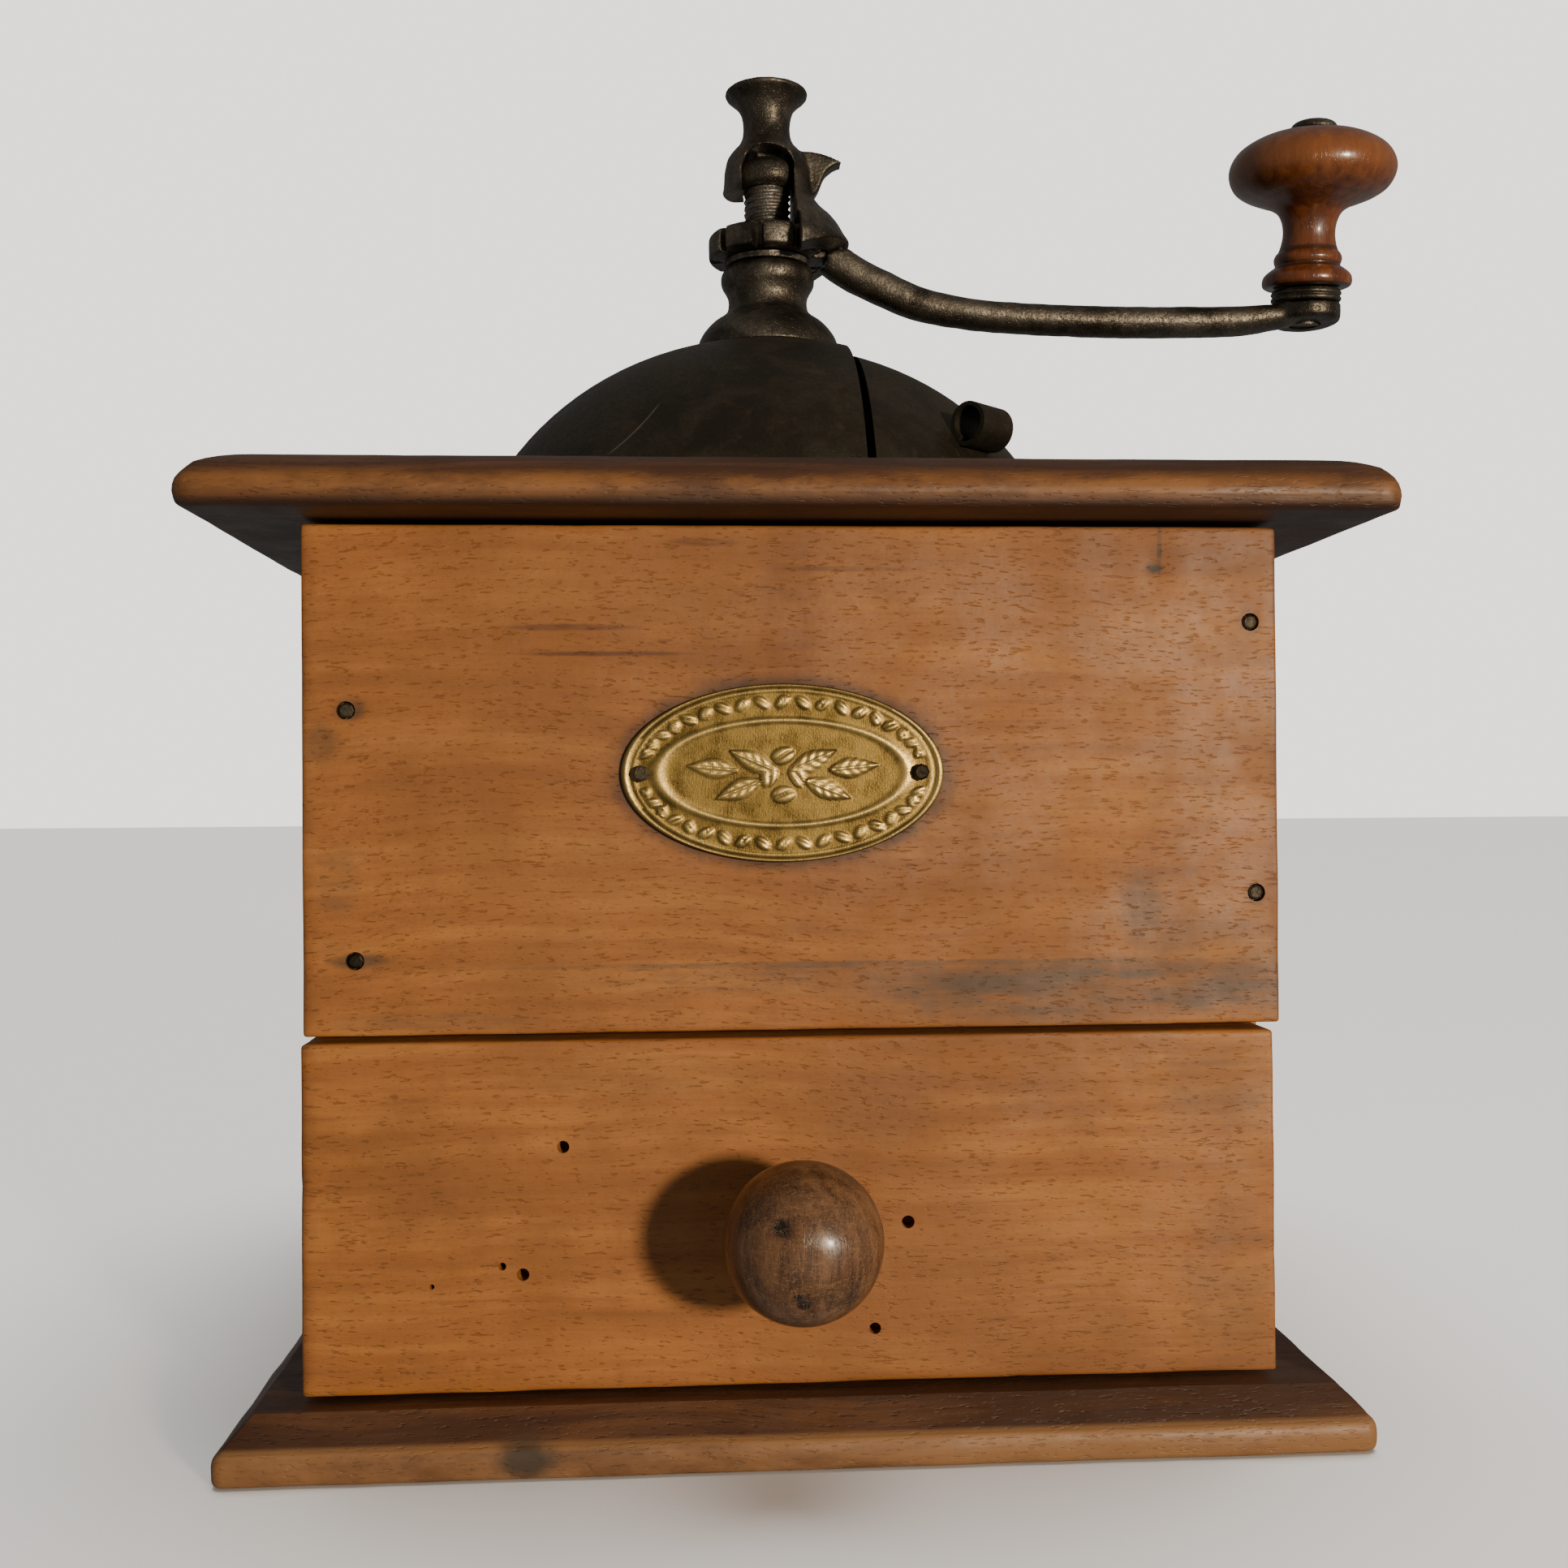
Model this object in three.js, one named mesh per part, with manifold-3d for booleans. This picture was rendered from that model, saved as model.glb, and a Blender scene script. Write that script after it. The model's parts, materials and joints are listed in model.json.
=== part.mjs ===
// Hand crank coffee grinder: a wooden box mill with a drawer, a domed iron hopper and a swan
// neck crank. Millimetres, +Z up, +X right, +Y back. The origin lies on the underside of the
// base board, under the spindle. The drawer and the name plate face -Y.
import * as THREE from "three";
import { mergeVertices } from "three/addons/utils/BufferGeometryUtils.js";
import Module from "manifold-3d";

const wasm = await Module();
wasm.setup();

// ---- Driving dimensions ----
const GAP = 0.3; // clearance between pieces that touch
const CASE_X = 75; // half the width of the wooden case
const CASE_Y = 78.75; // half its depth
const PANEL = 10; // thickness of the front and back panels
const SIDE_PANEL = 11;
const BASE_TOP = 9.3;
const BASE_OVERHANG = [11.7, 9.5]; // past the case, sideways and to the front
const DRAWER_TOP = 62.9;
const FRONT_PANEL_BOTTOM = 63.8;
const BOARD_BOTTOM = 142;
const BOARD_TOP = 151.6;
const BOARD_OVERHANG = [16.5, 12.2];
const BOARD_HOLE = 50;

const DOME_CENTRE = 127; // height of the centre of the dome's sphere
const DOME_OUTER = 63.8;
const DOME_INNER = 62.8;
const DOOR_OUTER = 62.2;
const DOOR_INNER = 61.3;
const SLOT_DOME = 13.8; // x of the dome's straight front edge at the hatch
const SLOT_DOOR = 15.6; // x of the door's edge when it is shut
const HATCH_END = 28; // azimuth in degrees where the hatch ends
const DOOR_END = 36; // azimuth in degrees where the shut door ends
const CURL_AZIMUTH = -42;
const CURL_RADIUS = 4;

const BORE = 5.1; // hole of the bearing column and of the adjusting ring
const THREAD = 4.75; // radius of the spindle's threaded top
const SHAFT = 4; // radius of the spindle inside the mill
const COLUMN_TOP = 205.7;
const WASHER = { bottom: 206, top: 207.1, radius: 8.6 };
const RING_BOTTOM = 207.4;
const RING_TOP = 212.3;
const RING_RADIUS = 11.9;
const NOTCHES = 9;
const NUT_BOTTOM = 221.5;
const NUT_TOP = 227;
const CAVITY = 6.65; // radius of the hollow in the crank head, round the nut
const HEAD_TOP = 241.8;
const CRANK_REACH = 110.9; // from the spindle to the middle of the arm's eye
const KNOB_LEAN = 9; // degrees that the knob and its pin lean to the front
const EYE_BOTTOM = 195.9;
const EYE_TOP = 200.2;
const PIN_RADIUS = 2.9;

const DRAWER_SHIFT = -0.8; // the drawer front sits a little to the left
const DRAWER_PROUD = 0.9; // the drawer front stands ahead of the front panel
const DRAWER_BOX_X = 63.5; // half the width of the drawer's box
const DRAWER_WALL = 5.9;

const DEGREE = Math.PI / 180;

// ---- Materials ----
function finish(color, roughness, metalness) {
  return new THREE.MeshStandardMaterial({ color, roughness, metalness });
}
const caseWood = finish(0xa9713d, 0.6, 0);
const boardWood = finish(0x6e4423, 0.55, 0);
const knobWood = finish(0x6b3a1d, 0.4, 0);
const iron = finish(0x3f3c36, 0.55, 0.85);
const steel = finish(0x6a6761, 0.45, 0.9);
const brass = finish(0xa08645, 0.4, 0.9);

// ---- Solids ----
// A closed manifold-3d solid from a three.js geometry, turned face out if it needs it.
function solid(geometry) {
  const bare = geometry.clone();
  bare.deleteAttribute("normal");
  bare.deleteAttribute("uv");
  const merged = mergeVertices(bare, 1e-4);
  const corners = merged.attributes.position.array;
  const index = merged.index.array;
  const triangles = [];
  let volume = 0;
  const [a, b, c] = [new THREE.Vector3(), new THREE.Vector3(), new THREE.Vector3()];
  for (let i = 0; i < index.length; i += 3) {
    const [p, q, r] = [index[i], index[i + 1], index[i + 2]];
    if (p === q || q === r || r === p) continue;
    triangles.push(p, q, r);
    volume += a.fromArray(corners, p * 3).dot(b.fromArray(corners, q * 3).cross(c.fromArray(corners, r * 3)));
  }
  if (volume < 0) triangles.reverse();
  return new wasm.Manifold(new wasm.Mesh({
    numProp: 3,
    vertProperties: new Float32Array(corners),
    triVerts: new Uint32Array(triangles),
  }));
}

function cut(body, ...tools) {
  return tools.reduce((left, tool) => left.subtract(tool), body);
}

function join(...bodies) {
  return bodies.reduce((whole, body) => whole.add(body));
}

function box([x0, x1], [y0, y1], [z0, z1]) {
  const geometry = new THREE.BoxGeometry(x1 - x0, y1 - y0, z1 - z0);
  return solid(geometry.translate((x0 + x1) / 2, (y0 + y1) / 2, (z0 + z1) / 2));
}

// A profile of [radius, height] points turned round the Z axis.
function turned(profile, sides = 28) {
  const points = profile.map(([radius, height]) => new THREE.Vector2(radius, height));
  return solid(new THREE.LatheGeometry(points, sides).rotateX(Math.PI / 2));
}

// A ring is a closed profile, so its first point comes again at its end.
function turnedRing(profile, sides) {
  return turned([...profile, profile[0]], sides);
}

function rod(radius, [z0, z1], [x, y] = [0, 0], sides = 10) {
  const geometry = new THREE.CylinderGeometry(radius, radius, z1 - z0, sides);
  return solid(geometry.rotateX(Math.PI / 2).translate(x, y, (z0 + z1) / 2));
}

// A rod along Y, from y0 to y1.
function crossRod(radius, [y0, y1], [x, z], sides = 10) {
  const geometry = new THREE.CylinderGeometry(radius, radius, y1 - y0, sides);
  return solid(geometry.translate(x, (y0 + y1) / 2, z));
}

// An outline of [x, y] points, upright from z0 to z1.
function prism(outline, [z0, z1]) {
  const shape = new THREE.Shape(outline.map(([x, y]) => new THREE.Vector2(x, y)));
  const options = { depth: z1 - z0, bevelEnabled: false };
  return solid(new THREE.ExtrudeGeometry(shape, options).translate(0, 0, z0));
}

// An outline of [x, z] points, running through from y0 to y1.
function crossPrism(outline, [y0, y1]) {
  const shape = new THREE.Shape(outline.map(([x, z]) => new THREE.Vector2(x, z)));
  const options = { depth: y1 - y0, bevelEnabled: false };
  return solid(new THREE.ExtrudeGeometry(shape, options).rotateX(Math.PI / 2).translate(0, y1, 0));
}

// Points of an arc of a sphere's profile between two radii from the axis, at steps of height.
function domeArc(sphere, fromRadius, toRadius, steps) {
  const start = Math.asin(fromRadius / sphere);
  const end = Math.asin(toRadius / sphere);
  return Array.from({ length: steps + 1 }, (_, i) => {
    const angle = start + ((end - start) * i) / steps;
    return [sphere * Math.sin(angle), DOME_CENTRE + sphere * Math.cos(angle)];
  });
}

function domeRadius(sphere, height) {
  return Math.sqrt(sphere ** 2 - (height - DOME_CENTRE) ** 2);
}

// A board with a moulded edge: one rounded rectangle for each [inset, height] of the profile.
function mouldedBoard(halfX, halfY, profile, corner) {
  const steps = 2;
  const positions = [];
  for (const [inset, height] of profile) {
    const radius = Math.max(corner - inset, 0.4);
    for (let quarter = 0; quarter < 4; quarter += 1) {
      const signX = quarter === 0 || quarter === 3 ? 1 : -1;
      const signY = quarter < 2 ? 1 : -1;
      for (let i = 0; i <= steps; i += 1) {
        const angle = (quarter + i / steps) * (Math.PI / 2);
        positions.push(signX * (halfX - inset - radius) + radius * Math.cos(angle));
        positions.push(signY * (halfY - inset - radius) + radius * Math.sin(angle), height);
      }
    }
  }
  const around = 4 * (steps + 1);
  const index = [];
  for (let ring = 0; ring + 1 < profile.length; ring += 1) {
    for (let i = 0; i < around; i += 1) {
      const [a, b] = [ring * around + i, ring * around + ((i + 1) % around)];
      index.push(a, b, b + around, a, b + around, a + around);
    }
  }
  const last = (profile.length - 1) * around;
  for (let i = 1; i + 1 < around; i += 1) index.push(0, i + 1, i, last, last + i, last + i + 1);
  const geometry = new THREE.BufferGeometry();
  geometry.setAttribute("position", new THREE.BufferAttribute(new Float32Array(positions), 3));
  geometry.setIndex(index);
  return solid(geometry);
}

// A nail or screw with its head on top: the head's top is at 0 and the shank points down.
function fastener(headRadius, headHeight, shankRadius, length, sides = 12) {
  return turned([
    [0, -length],
    [shankRadius * 0.4, -length],
    [shankRadius, -length + 2],
    [shankRadius, -headHeight],
    [headRadius, -headHeight],
    [headRadius, -headHeight * 0.4],
    [headRadius * 0.7, 0],
    [0, 0],
  ], sides);
}

// ---- The scene graph ----
const grinder = new THREE.Group();
const [caseGroup, hopperGroup, millGroup, crankGroup, drawerGroup] = Array.from({ length: 5 }, () => {
  const group = new THREE.Group();
  grinder.add(group);
  return group;
});

function piece(group, name, shape, material, position = [0, 0, 0], tilt = 0) {
  const made = shape.getMesh();
  const geometry = new THREE.BufferGeometry();
  geometry.setAttribute("position", new THREE.BufferAttribute(made.vertProperties, 3));
  geometry.setIndex(new THREE.BufferAttribute(made.triVerts, 1));
  geometry.computeVertexNormals();
  const mesh = new THREE.Mesh(geometry, material);
  mesh.name = name;
  mesh.position.set(...position);
  mesh.rotation.x = tilt;
  group.add(mesh);
}

const FACING_FRONT = Math.PI / 2; // turns a fastener's head from +Z to -Y
const FACING_BACK = -Math.PI / 2;
const FACING_DOWN = Math.PI;

// ---- Case ----
const NAIL = { head: 1.2, headHeight: 0.6, shank: 0.8, length: 21 };
const FRONT_NAILS = [[70.8, 126.3], [71.4, 84.1], [-68.4, 113], [-67.2, 75.2]];
const BACK_NAILS = [[70, 118], [70, 34], [-70, 118], [-70, 34]];
const NAIL_SINK = 0.2; // how far a nail's head lies under the wood's surface

// A hole for a nail at [x, z] in the front (facing -1) or the back (facing 1) of the case.
function nailHole([x, z], facing) {
  const deep = (depth) => facing * (CASE_Y - depth);
  const span = (from, to) => [Math.min(deep(from), deep(to)), Math.max(deep(from), deep(to))];
  const head = crossRod(NAIL.head + GAP, span(-1, NAIL_SINK + NAIL.headHeight + GAP), [x, z], 8);
  return join(head, crossRod(NAIL.shank + GAP, span(0, NAIL_SINK + NAIL.length + GAP), [x, z], 8));
}

const SCREW = { head: 3.4, headHeight: 2.2, shank: 1.8, length: 23 };
const BASE_SCREWS = [[69.5, 50], [69.5, -50], [-69.5, 50], [-69.5, -50]];

function screwHole([x, y]) {
  const head = rod(SCREW.head + GAP, [-1, GAP + SCREW.headHeight + GAP], [x, y]);
  return join(head, rod(SCREW.shank + GAP, [0, SCREW.length + 1.2], [x, y]));
}

const baseProfile = [[1.2, 0], [0.25, 0.9], [0, 2.4], [0.3, 4], [0.9, 4.9], [5, BASE_TOP]];
const baseBoard = cut(
  mouldedBoard(CASE_X + BASE_OVERHANG[0], CASE_Y + BASE_OVERHANG[1], baseProfile, 2.5),
  ...BASE_SCREWS.map(screwHole),
);
piece(caseGroup, "base_board", baseBoard, boardWood);

const SIDE_PANEL_Y = CASE_Y - PANEL - GAP;
for (const [side, sign] of [["left", -1], ["right", 1]]) {
  const ends = [sign * CASE_X, sign * (CASE_X - SIDE_PANEL)].sort((a, b) => a - b);
  const panel = box(ends, [-SIDE_PANEL_Y, SIDE_PANEL_Y], [BASE_TOP + GAP, BOARD_BOTTOM - GAP]);
  const holes = [
    ...BASE_SCREWS.filter(([x]) => x * sign > 0).map(screwHole),
    ...FRONT_NAILS.filter(([x]) => x * sign > 0).map((place) => nailHole(place, -1)),
    ...BACK_NAILS.filter(([x]) => x * sign > 0).map((place) => nailHole(place, 1)),
  ];
  piece(caseGroup, `side_panel_${side}`, cut(panel, ...holes), caseWood);
}

const PLATE = { x: -2.4, z: 103.2, halfX: 24.7, halfZ: 13.65, thickness: 0.7 };
const PLATE_PINS = [-24.1, 18.7];
const PLATE_PIN = { head: 1.3, headHeight: 0.6, shank: 0.75, length: 7 };
const plateHoles = PLATE_PINS.map((x) =>
  crossRod(PLATE_PIN.shank + GAP, [-CASE_Y - 5, -CASE_Y + PANEL - 2], [x, PLATE.z], 8));

const frontPanel = box(
  [-CASE_X, CASE_X], [-CASE_Y, PANEL - CASE_Y], [FRONT_PANEL_BOTTOM, BOARD_BOTTOM - GAP],
);
const frontHoles = FRONT_NAILS.map((place) => nailHole(place, -1));
piece(caseGroup, "front_panel", cut(frontPanel, ...frontHoles, ...plateHoles), caseWood);
const backPanel = box([-CASE_X, CASE_X], [CASE_Y - PANEL, CASE_Y], [BASE_TOP + GAP, BOARD_BOTTOM - GAP]);
piece(caseGroup, "back_panel", cut(backPanel, ...BACK_NAILS.map((place) => nailHole(place, 1))), caseWood);

const NOSE = BOARD_BOTTOM + 2.3; // height of the top board's furthest edge
const ROUNDING = [15, BOARD_TOP - NOSE]; // width and height of the board's upper rounding
const boardProfile = [[2, BOARD_BOTTOM], [0.6, BOARD_BOTTOM + 0.7], [0, NOSE]];
for (const angle of [25, 50, 75]) {
  const [across, up] = [1 - Math.cos(angle * DEGREE), Math.sin(angle * DEGREE)];
  boardProfile.push([ROUNDING[0] * across, NOSE + ROUNDING[1] * up]);
}
boardProfile.push([ROUNDING[0], BOARD_TOP]);

const DOME_SCREW = { head: 2.3, headHeight: 1.4, shank: 1.2, length: 8.5 };
const FLANGE_RADIUS = 66;
const FLANGE_BOTTOM = BOARD_TOP + GAP;
const FLANGE_TOP = FLANGE_BOTTOM + 1;
const DOME_SCREW_PLACES = [45, 135, 225, 315].map((angle) => {
  const reach = 62.7;
  return [reach * Math.cos(angle * DEGREE), reach * Math.sin(angle * DEGREE)];
});
const domeScrewHoles = DOME_SCREW_PLACES.map((place) =>
  rod(DOME_SCREW.shank + GAP, [BOARD_TOP - 8.4, FLANGE_TOP + 1], place));
const topBoard = cut(
  mouldedBoard(CASE_X + BOARD_OVERHANG[0], CASE_Y + BOARD_OVERHANG[1], boardProfile, 4),
  rod(BOARD_HOLE, [BOARD_BOTTOM - 1, BOARD_TOP + 1], [0, 0], 32),
  ...domeScrewHoles,
);
piece(caseGroup, "top_board", topBoard, boardWood);

FRONT_NAILS.forEach(([x, z], i) => {
  const nail = fastener(NAIL.head, NAIL.headHeight, NAIL.shank, NAIL.length, 8);
  piece(caseGroup, `front_nail_${i + 1}`, nail, steel, [x, NAIL_SINK - CASE_Y, z], FACING_FRONT);
});
BACK_NAILS.forEach(([x, z], i) => {
  const nail = fastener(NAIL.head, NAIL.headHeight, NAIL.shank, NAIL.length, 8);
  piece(caseGroup, `back_nail_${i + 1}`, nail, steel, [x, CASE_Y - NAIL_SINK, z], FACING_BACK);
});
BASE_SCREWS.forEach(([x, y], i) => {
  const screw = fastener(SCREW.head, SCREW.headHeight, SCREW.shank, SCREW.length, 10);
  piece(caseGroup, `base_screw_${i + 1}`, screw, steel, [x, y, GAP], FACING_DOWN);
});

const plateOutline = new THREE.EllipseCurve(PLATE.x, PLATE.z, PLATE.halfX, PLATE.halfZ)
  .getPoints(32).slice(0, -1).map((point) => [point.x, point.y]);
const plateBack = -CASE_Y - GAP;
const plateFront = plateBack - PLATE.thickness;
const namePlate = cut(crossPrism(plateOutline, [plateFront, plateBack]), ...plateHoles);
piece(caseGroup, "name_plate", namePlate, brass);
PLATE_PINS.forEach((x, i) => {
  const pin = fastener(PLATE_PIN.head, PLATE_PIN.headHeight, PLATE_PIN.shank, PLATE_PIN.length, 8);
  const seat = plateFront - GAP - PLATE_PIN.headHeight;
  piece(caseGroup, `plate_pin_${i + 1}`, pin, steel, [x, seat, PLATE.z], FACING_FRONT);
});

// ---- Hopper ----
const SPIGOT = 8.2; // radius of the column's foot, through the dome
const DOOR_EYE = 9; // hole of the door round the column's foot
const DOOR_BOTTOM = 153.9;
const HATCH_BOTTOM = 155.5;
const FAR = 90; // past everything

// The upright region right of a straight edge at x, as far round as an azimuth.
function hatchRegion(x, azimuth, [z0, z1]) {
  const slope = Math.tan(azimuth * DEGREE);
  return prism([[x, -FAR], [FAR, -FAR], [FAR, FAR * slope], [x, x * slope]], [z0, z1]);
}

const domeShell = turnedRing([
  [domeRadius(DOME_INNER, FLANGE_BOTTOM), FLANGE_BOTTOM],
  [FLANGE_RADIUS, FLANGE_BOTTOM],
  [FLANGE_RADIUS, FLANGE_TOP],
  ...domeArc(DOME_OUTER, domeRadius(DOME_OUTER, FLANGE_TOP), SPIGOT + GAP, 8),
  ...domeArc(DOME_INNER, SPIGOT + GAP, domeRadius(DOME_INNER, FLANGE_BOTTOM + 1), 8),
], 36);
const hatch = cut(hatchRegion(SLOT_DOME, HATCH_END, [HATCH_BOTTOM, 200]), rod(17, [150, 200], [0, 0], 28));
piece(hopperGroup, "hopper_dome", cut(domeShell, hatch, ...domeScrewHoles), iron);
DOME_SCREW_PLACES.forEach(([x, y], i) => {
  const screw = fastener(DOME_SCREW.head, DOME_SCREW.headHeight, DOME_SCREW.shank, DOME_SCREW.length, 8);
  const seat = FLANGE_TOP + GAP + DOME_SCREW.headHeight;
  piece(hopperGroup, `dome_screw_${i + 1}`, screw, steel, [x, y, seat]);
});

// The door is a thinner dome inside the first, cut to a sector, with a tongue rolled outward.
const doorShell = turnedRing([
  ...domeArc(DOOR_OUTER, domeRadius(DOOR_OUTER, DOOR_BOTTOM), DOOR_EYE, 8),
  ...domeArc(DOOR_INNER, DOOR_EYE, domeRadius(DOOR_INNER, DOOR_BOTTOM), 8),
], 36);
const doorSector = join(
  hatchRegion(SLOT_DOOR, DOOR_END, [DOOR_BOTTOM - 1, 200]),
  rod(18, [180, 200], [0, 0], 28),
);

function thumbCurl() {
  const [length, sphere, height] = [9, 65.6, 165.2];
  const reach = domeRadius(sphere, height);
  const lean = Math.atan2(reach, height - DOME_CENTRE);
  const tube = new THREE.Shape().absarc(0, 0, CURL_RADIUS, 0, 2 * Math.PI);
  tube.holes.push(new THREE.Path().absarc(0, 0, CURL_RADIUS - 0.9, 0, 2 * Math.PI));
  const rolled = new THREE.ExtrudeGeometry(tube, { depth: length, bevelEnabled: false, curveSegments: 6 });
  rolled.translate(0, 0, -length / 2).rotateX(-Math.PI / 2);
  rolled.rotateY(lean).translate(reach, 0, height).rotateZ(CURL_AZIMUTH * DEGREE);
  const inside = [[0, 60], [DOOR_INNER, 60], ...domeArc(DOOR_INNER, DOOR_INNER - 0.01, 0, 8)];
  return cut(solid(rolled), turned(inside, 36));
}
piece(hopperGroup, "hopper_door", join(doorShell.intersect(doorSector), thumbCurl()), iron);

const columnSeat = domeArc(DOME_OUTER + GAP, SPIGOT, 14.2, 2);
const column = turnedRing([
  [BORE, 176], [SPIGOT, 176], ...columnSeat,
  [14.2, 190.1], [13.5, 191.2], [11.4, 193.1], [9.2, 195], [8, 196.8], [7.9, 198.6], [8.4, 200.6],
  [9.3, 202.6], [9.43, 203.8], [9.2, 205], [8.5, COLUMN_TOP], [BORE, COLUMN_TOP],
], 20);
piece(hopperGroup, "bearing_column", column, iron);
const nutOutline = Array.from({ length: 6 }, (_, i) => {
  const angle = i * 60 * DEGREE;
  return [13 * Math.cos(angle), 13 * Math.sin(angle)];
});
const columnNut = cut(prism(nutOutline, [181.5, 185.8]), rod(SPIGOT + GAP, [180, 190], [0, 0], 20));
piece(hopperGroup, "column_nut", columnNut, steel);

// ---- Mill ----
const BRIDGE_SCREW_X = 24.9;
const bridgeScrewHoles = [-1, 1].map((sign) => rod(1.7, [80, 120.2], [sign * BRIDGE_SCREW_X, 0], 10));
const bowl = turnedRing([
  [56.5, FLANGE_TOP], [56.5, FLANGE_BOTTOM], [49.5, FLANGE_BOTTOM], [48.9, 147], [44, 138], [35, 128.5],
  [28, 121.5], [28, 115.3], [22.7, 115.3], [24.4, 118], [32.8, 127.8], [42.5, 139], [47.2, 147.6],
  [47.9, FLANGE_TOP],
], 28);
piece(millGroup, "hopper_bowl", cut(bowl, ...bridgeScrewHoles), iron);

const RING_BURR = { bottom: 88.3, top: 115, bore: 17.2, mouth: 20, radius: 28, teeth: 16 };
const burrTeeth = Array.from({ length: RING_BURR.teeth }, (_, i) => {
  const tooth = new THREE.BoxGeometry(8, 1.8, 30).translate(14.7, 0, 100);
  return solid(tooth.rotateZ((i * 2 * Math.PI) / RING_BURR.teeth));
});
const burrRing = turnedRing([
  [RING_BURR.bore, RING_BURR.bottom], [RING_BURR.radius, RING_BURR.bottom],
  [RING_BURR.radius, RING_BURR.top], [RING_BURR.mouth, RING_BURR.top], [RING_BURR.bore, 93],
], 28);
piece(millGroup, "burr_ring", cut(burrRing, ...burrTeeth, ...bridgeScrewHoles), iron);

const bridgeBar = join(box([-28, 28], [-6, 6], [83.8, 88]), rod(9, [80, 88], [0, 0], 20));
const bridgeBore = rod(SHAFT + GAP, [79, 89], [0, 0], 20);
piece(millGroup, "bottom_bridge", cut(bridgeBar, bridgeBore, ...bridgeScrewHoles), iron);
[-1, 1].forEach((sign, i) => {
  const screw = fastener(2.9, 2, 1.4, 38, 10);
  piece(millGroup, `bridge_screw_${i + 1}`, screw, steel, [sign * BRIDGE_SCREW_X, 0, 81.5], FACING_DOWN);
});

const CONE_PIN_HEIGHT = 104;
const conePinHole = crossRod(1.5, [-20, 20], [0, CONE_PIN_HEIGHT], 10);
const TANG = 2.2; // half the width of the square end that drives the crank head
const TANG_TOP = 236;
const SHOULDER = NUT_BOTTOM - GAP; // the thread ends here, under the nut
const spindle = join(
  turned([
    [0, 79], [SHAFT - 0.6, 79], [SHAFT, 79.6], [SHAFT, 176], [THREAD, 177], [THREAD, SHOULDER],
    [4.2, SHOULDER], [4.2, SHOULDER + 6.2], [0, SHOULDER + 6.2],
  ], 16),
  box([-TANG, TANG], [-TANG, TANG], [SHOULDER + 6, TANG_TOP]),
);
piece(crankGroup, "spindle", cut(spindle, conePinHole), steel);

const coneGrooves = Array.from({ length: 8 }, (_, i) => {
  const groove = new THREE.BoxGeometry(8, 2, 40).rotateY(-16 * DEGREE).translate(17.2, 0, 98);
  return solid(groove.rotateZ((i * 2 * Math.PI) / 8));
});
const burrCone = turnedRing([
  [SHAFT + GAP, 89], [15.6, 89], [15.6, 92.5], [8, 113.5], [SHAFT + GAP, 113.5],
], 24);
piece(crankGroup, "burr_cone", cut(burrCone, conePinHole, ...coneGrooves), iron);
piece(crankGroup, "cone_pin", crossRod(1.2, [-10.4, 10.4], [0, CONE_PIN_HEIGHT], 10), steel);

// ---- Adjuster ----
const thrustWasher = turnedRing([
  [BORE, WASHER.bottom], [WASHER.radius, WASHER.bottom], [WASHER.radius, WASHER.top], [BORE, WASHER.top],
], 24);
piece(crankGroup, "thrust_washer", thrustWasher, steel);

const NOTCH_AZIMUTH = -102; // middle of the notch left of the front lobe
const notches = Array.from({ length: NOTCHES }, (_, i) => {
  const notch = new THREE.BoxGeometry(4, 1.7, 8).translate(RING_RADIUS, 0, (RING_BOTTOM + RING_TOP) / 2);
  return solid(notch.rotateZ((NOTCH_AZIMUTH + (i * 360) / NOTCHES) * DEGREE));
});
const adjuster = turnedRing([
  [BORE, RING_BOTTOM], [RING_RADIUS - 0.5, RING_BOTTOM], [RING_RADIUS, RING_BOTTOM + 0.6],
  [RING_RADIUS, RING_TOP - 0.7], [RING_RADIUS - 0.7, RING_TOP], [BORE, RING_TOP],
], 27);
piece(crankGroup, "adjuster_ring", cut(adjuster, ...notches), iron);

const capNut = turnedRing([
  [4.5, NUT_BOTTOM], [5.2, NUT_BOTTOM], [6.1, 222.7], [6.35, 224.2], [6.1, 225.7], [5.2, NUT_TOP],
  [4.5, NUT_TOP],
], 18);
piece(crankGroup, "cap_nut", capNut, steel);

// ---- Crank ----
const bell = turned([
  [0, 204], [17.4, 204], [17.4, 208.9], [17.1, 209.8], [16, 211.5], [14, 214.8], [11.6, 217.2],
  [9.7, 219.6], [9, 221.4], [8.75, 222.8], [8.6, 225], [8.2, 227.2], [7.7, 228.4], [6.6, 229.6],
  [5.6, 230.8], [5, 232.2], [4.75, 234.2], [5.1, 236.6], [5.7, 238], [6.7, 239.2], [7.7, 240.1],
  [8.4, 240.9], [8.3, 241.4], [7.7, HEAD_TOP], [0, HEAD_TOP],
], 22);
const CAVITY_TOP = NUT_TOP + 0.7;
const RING_ROOM = RING_TOP + 0.5;
const cavity = turned([
  [0, 203], [12.3, 203], [12.3, RING_ROOM], [CAVITY, RING_ROOM], [CAVITY, CAVITY_TOP], [0, CAVITY_TOP],
], 22);
const WINDOW_RIGHT = 5; // the right cheek starts here
const archway = [
  [-CAVITY, 203], [WINDOW_RIGHT, 203], [WINDOW_RIGHT, 225.4], [3.6, 227.6], [1, 228.6], [-2, 228.5],
  [-4.8, 227.3], [-CAVITY, 224.6],
];
const JOINT = { x: 12.7, z: 208.75, slope: 0.392 }; // the line where the head meets the arm
const jointAt = (x, shift) => [x, JOINT.z + shift + JOINT.slope * (x - JOINT.x)];
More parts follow.
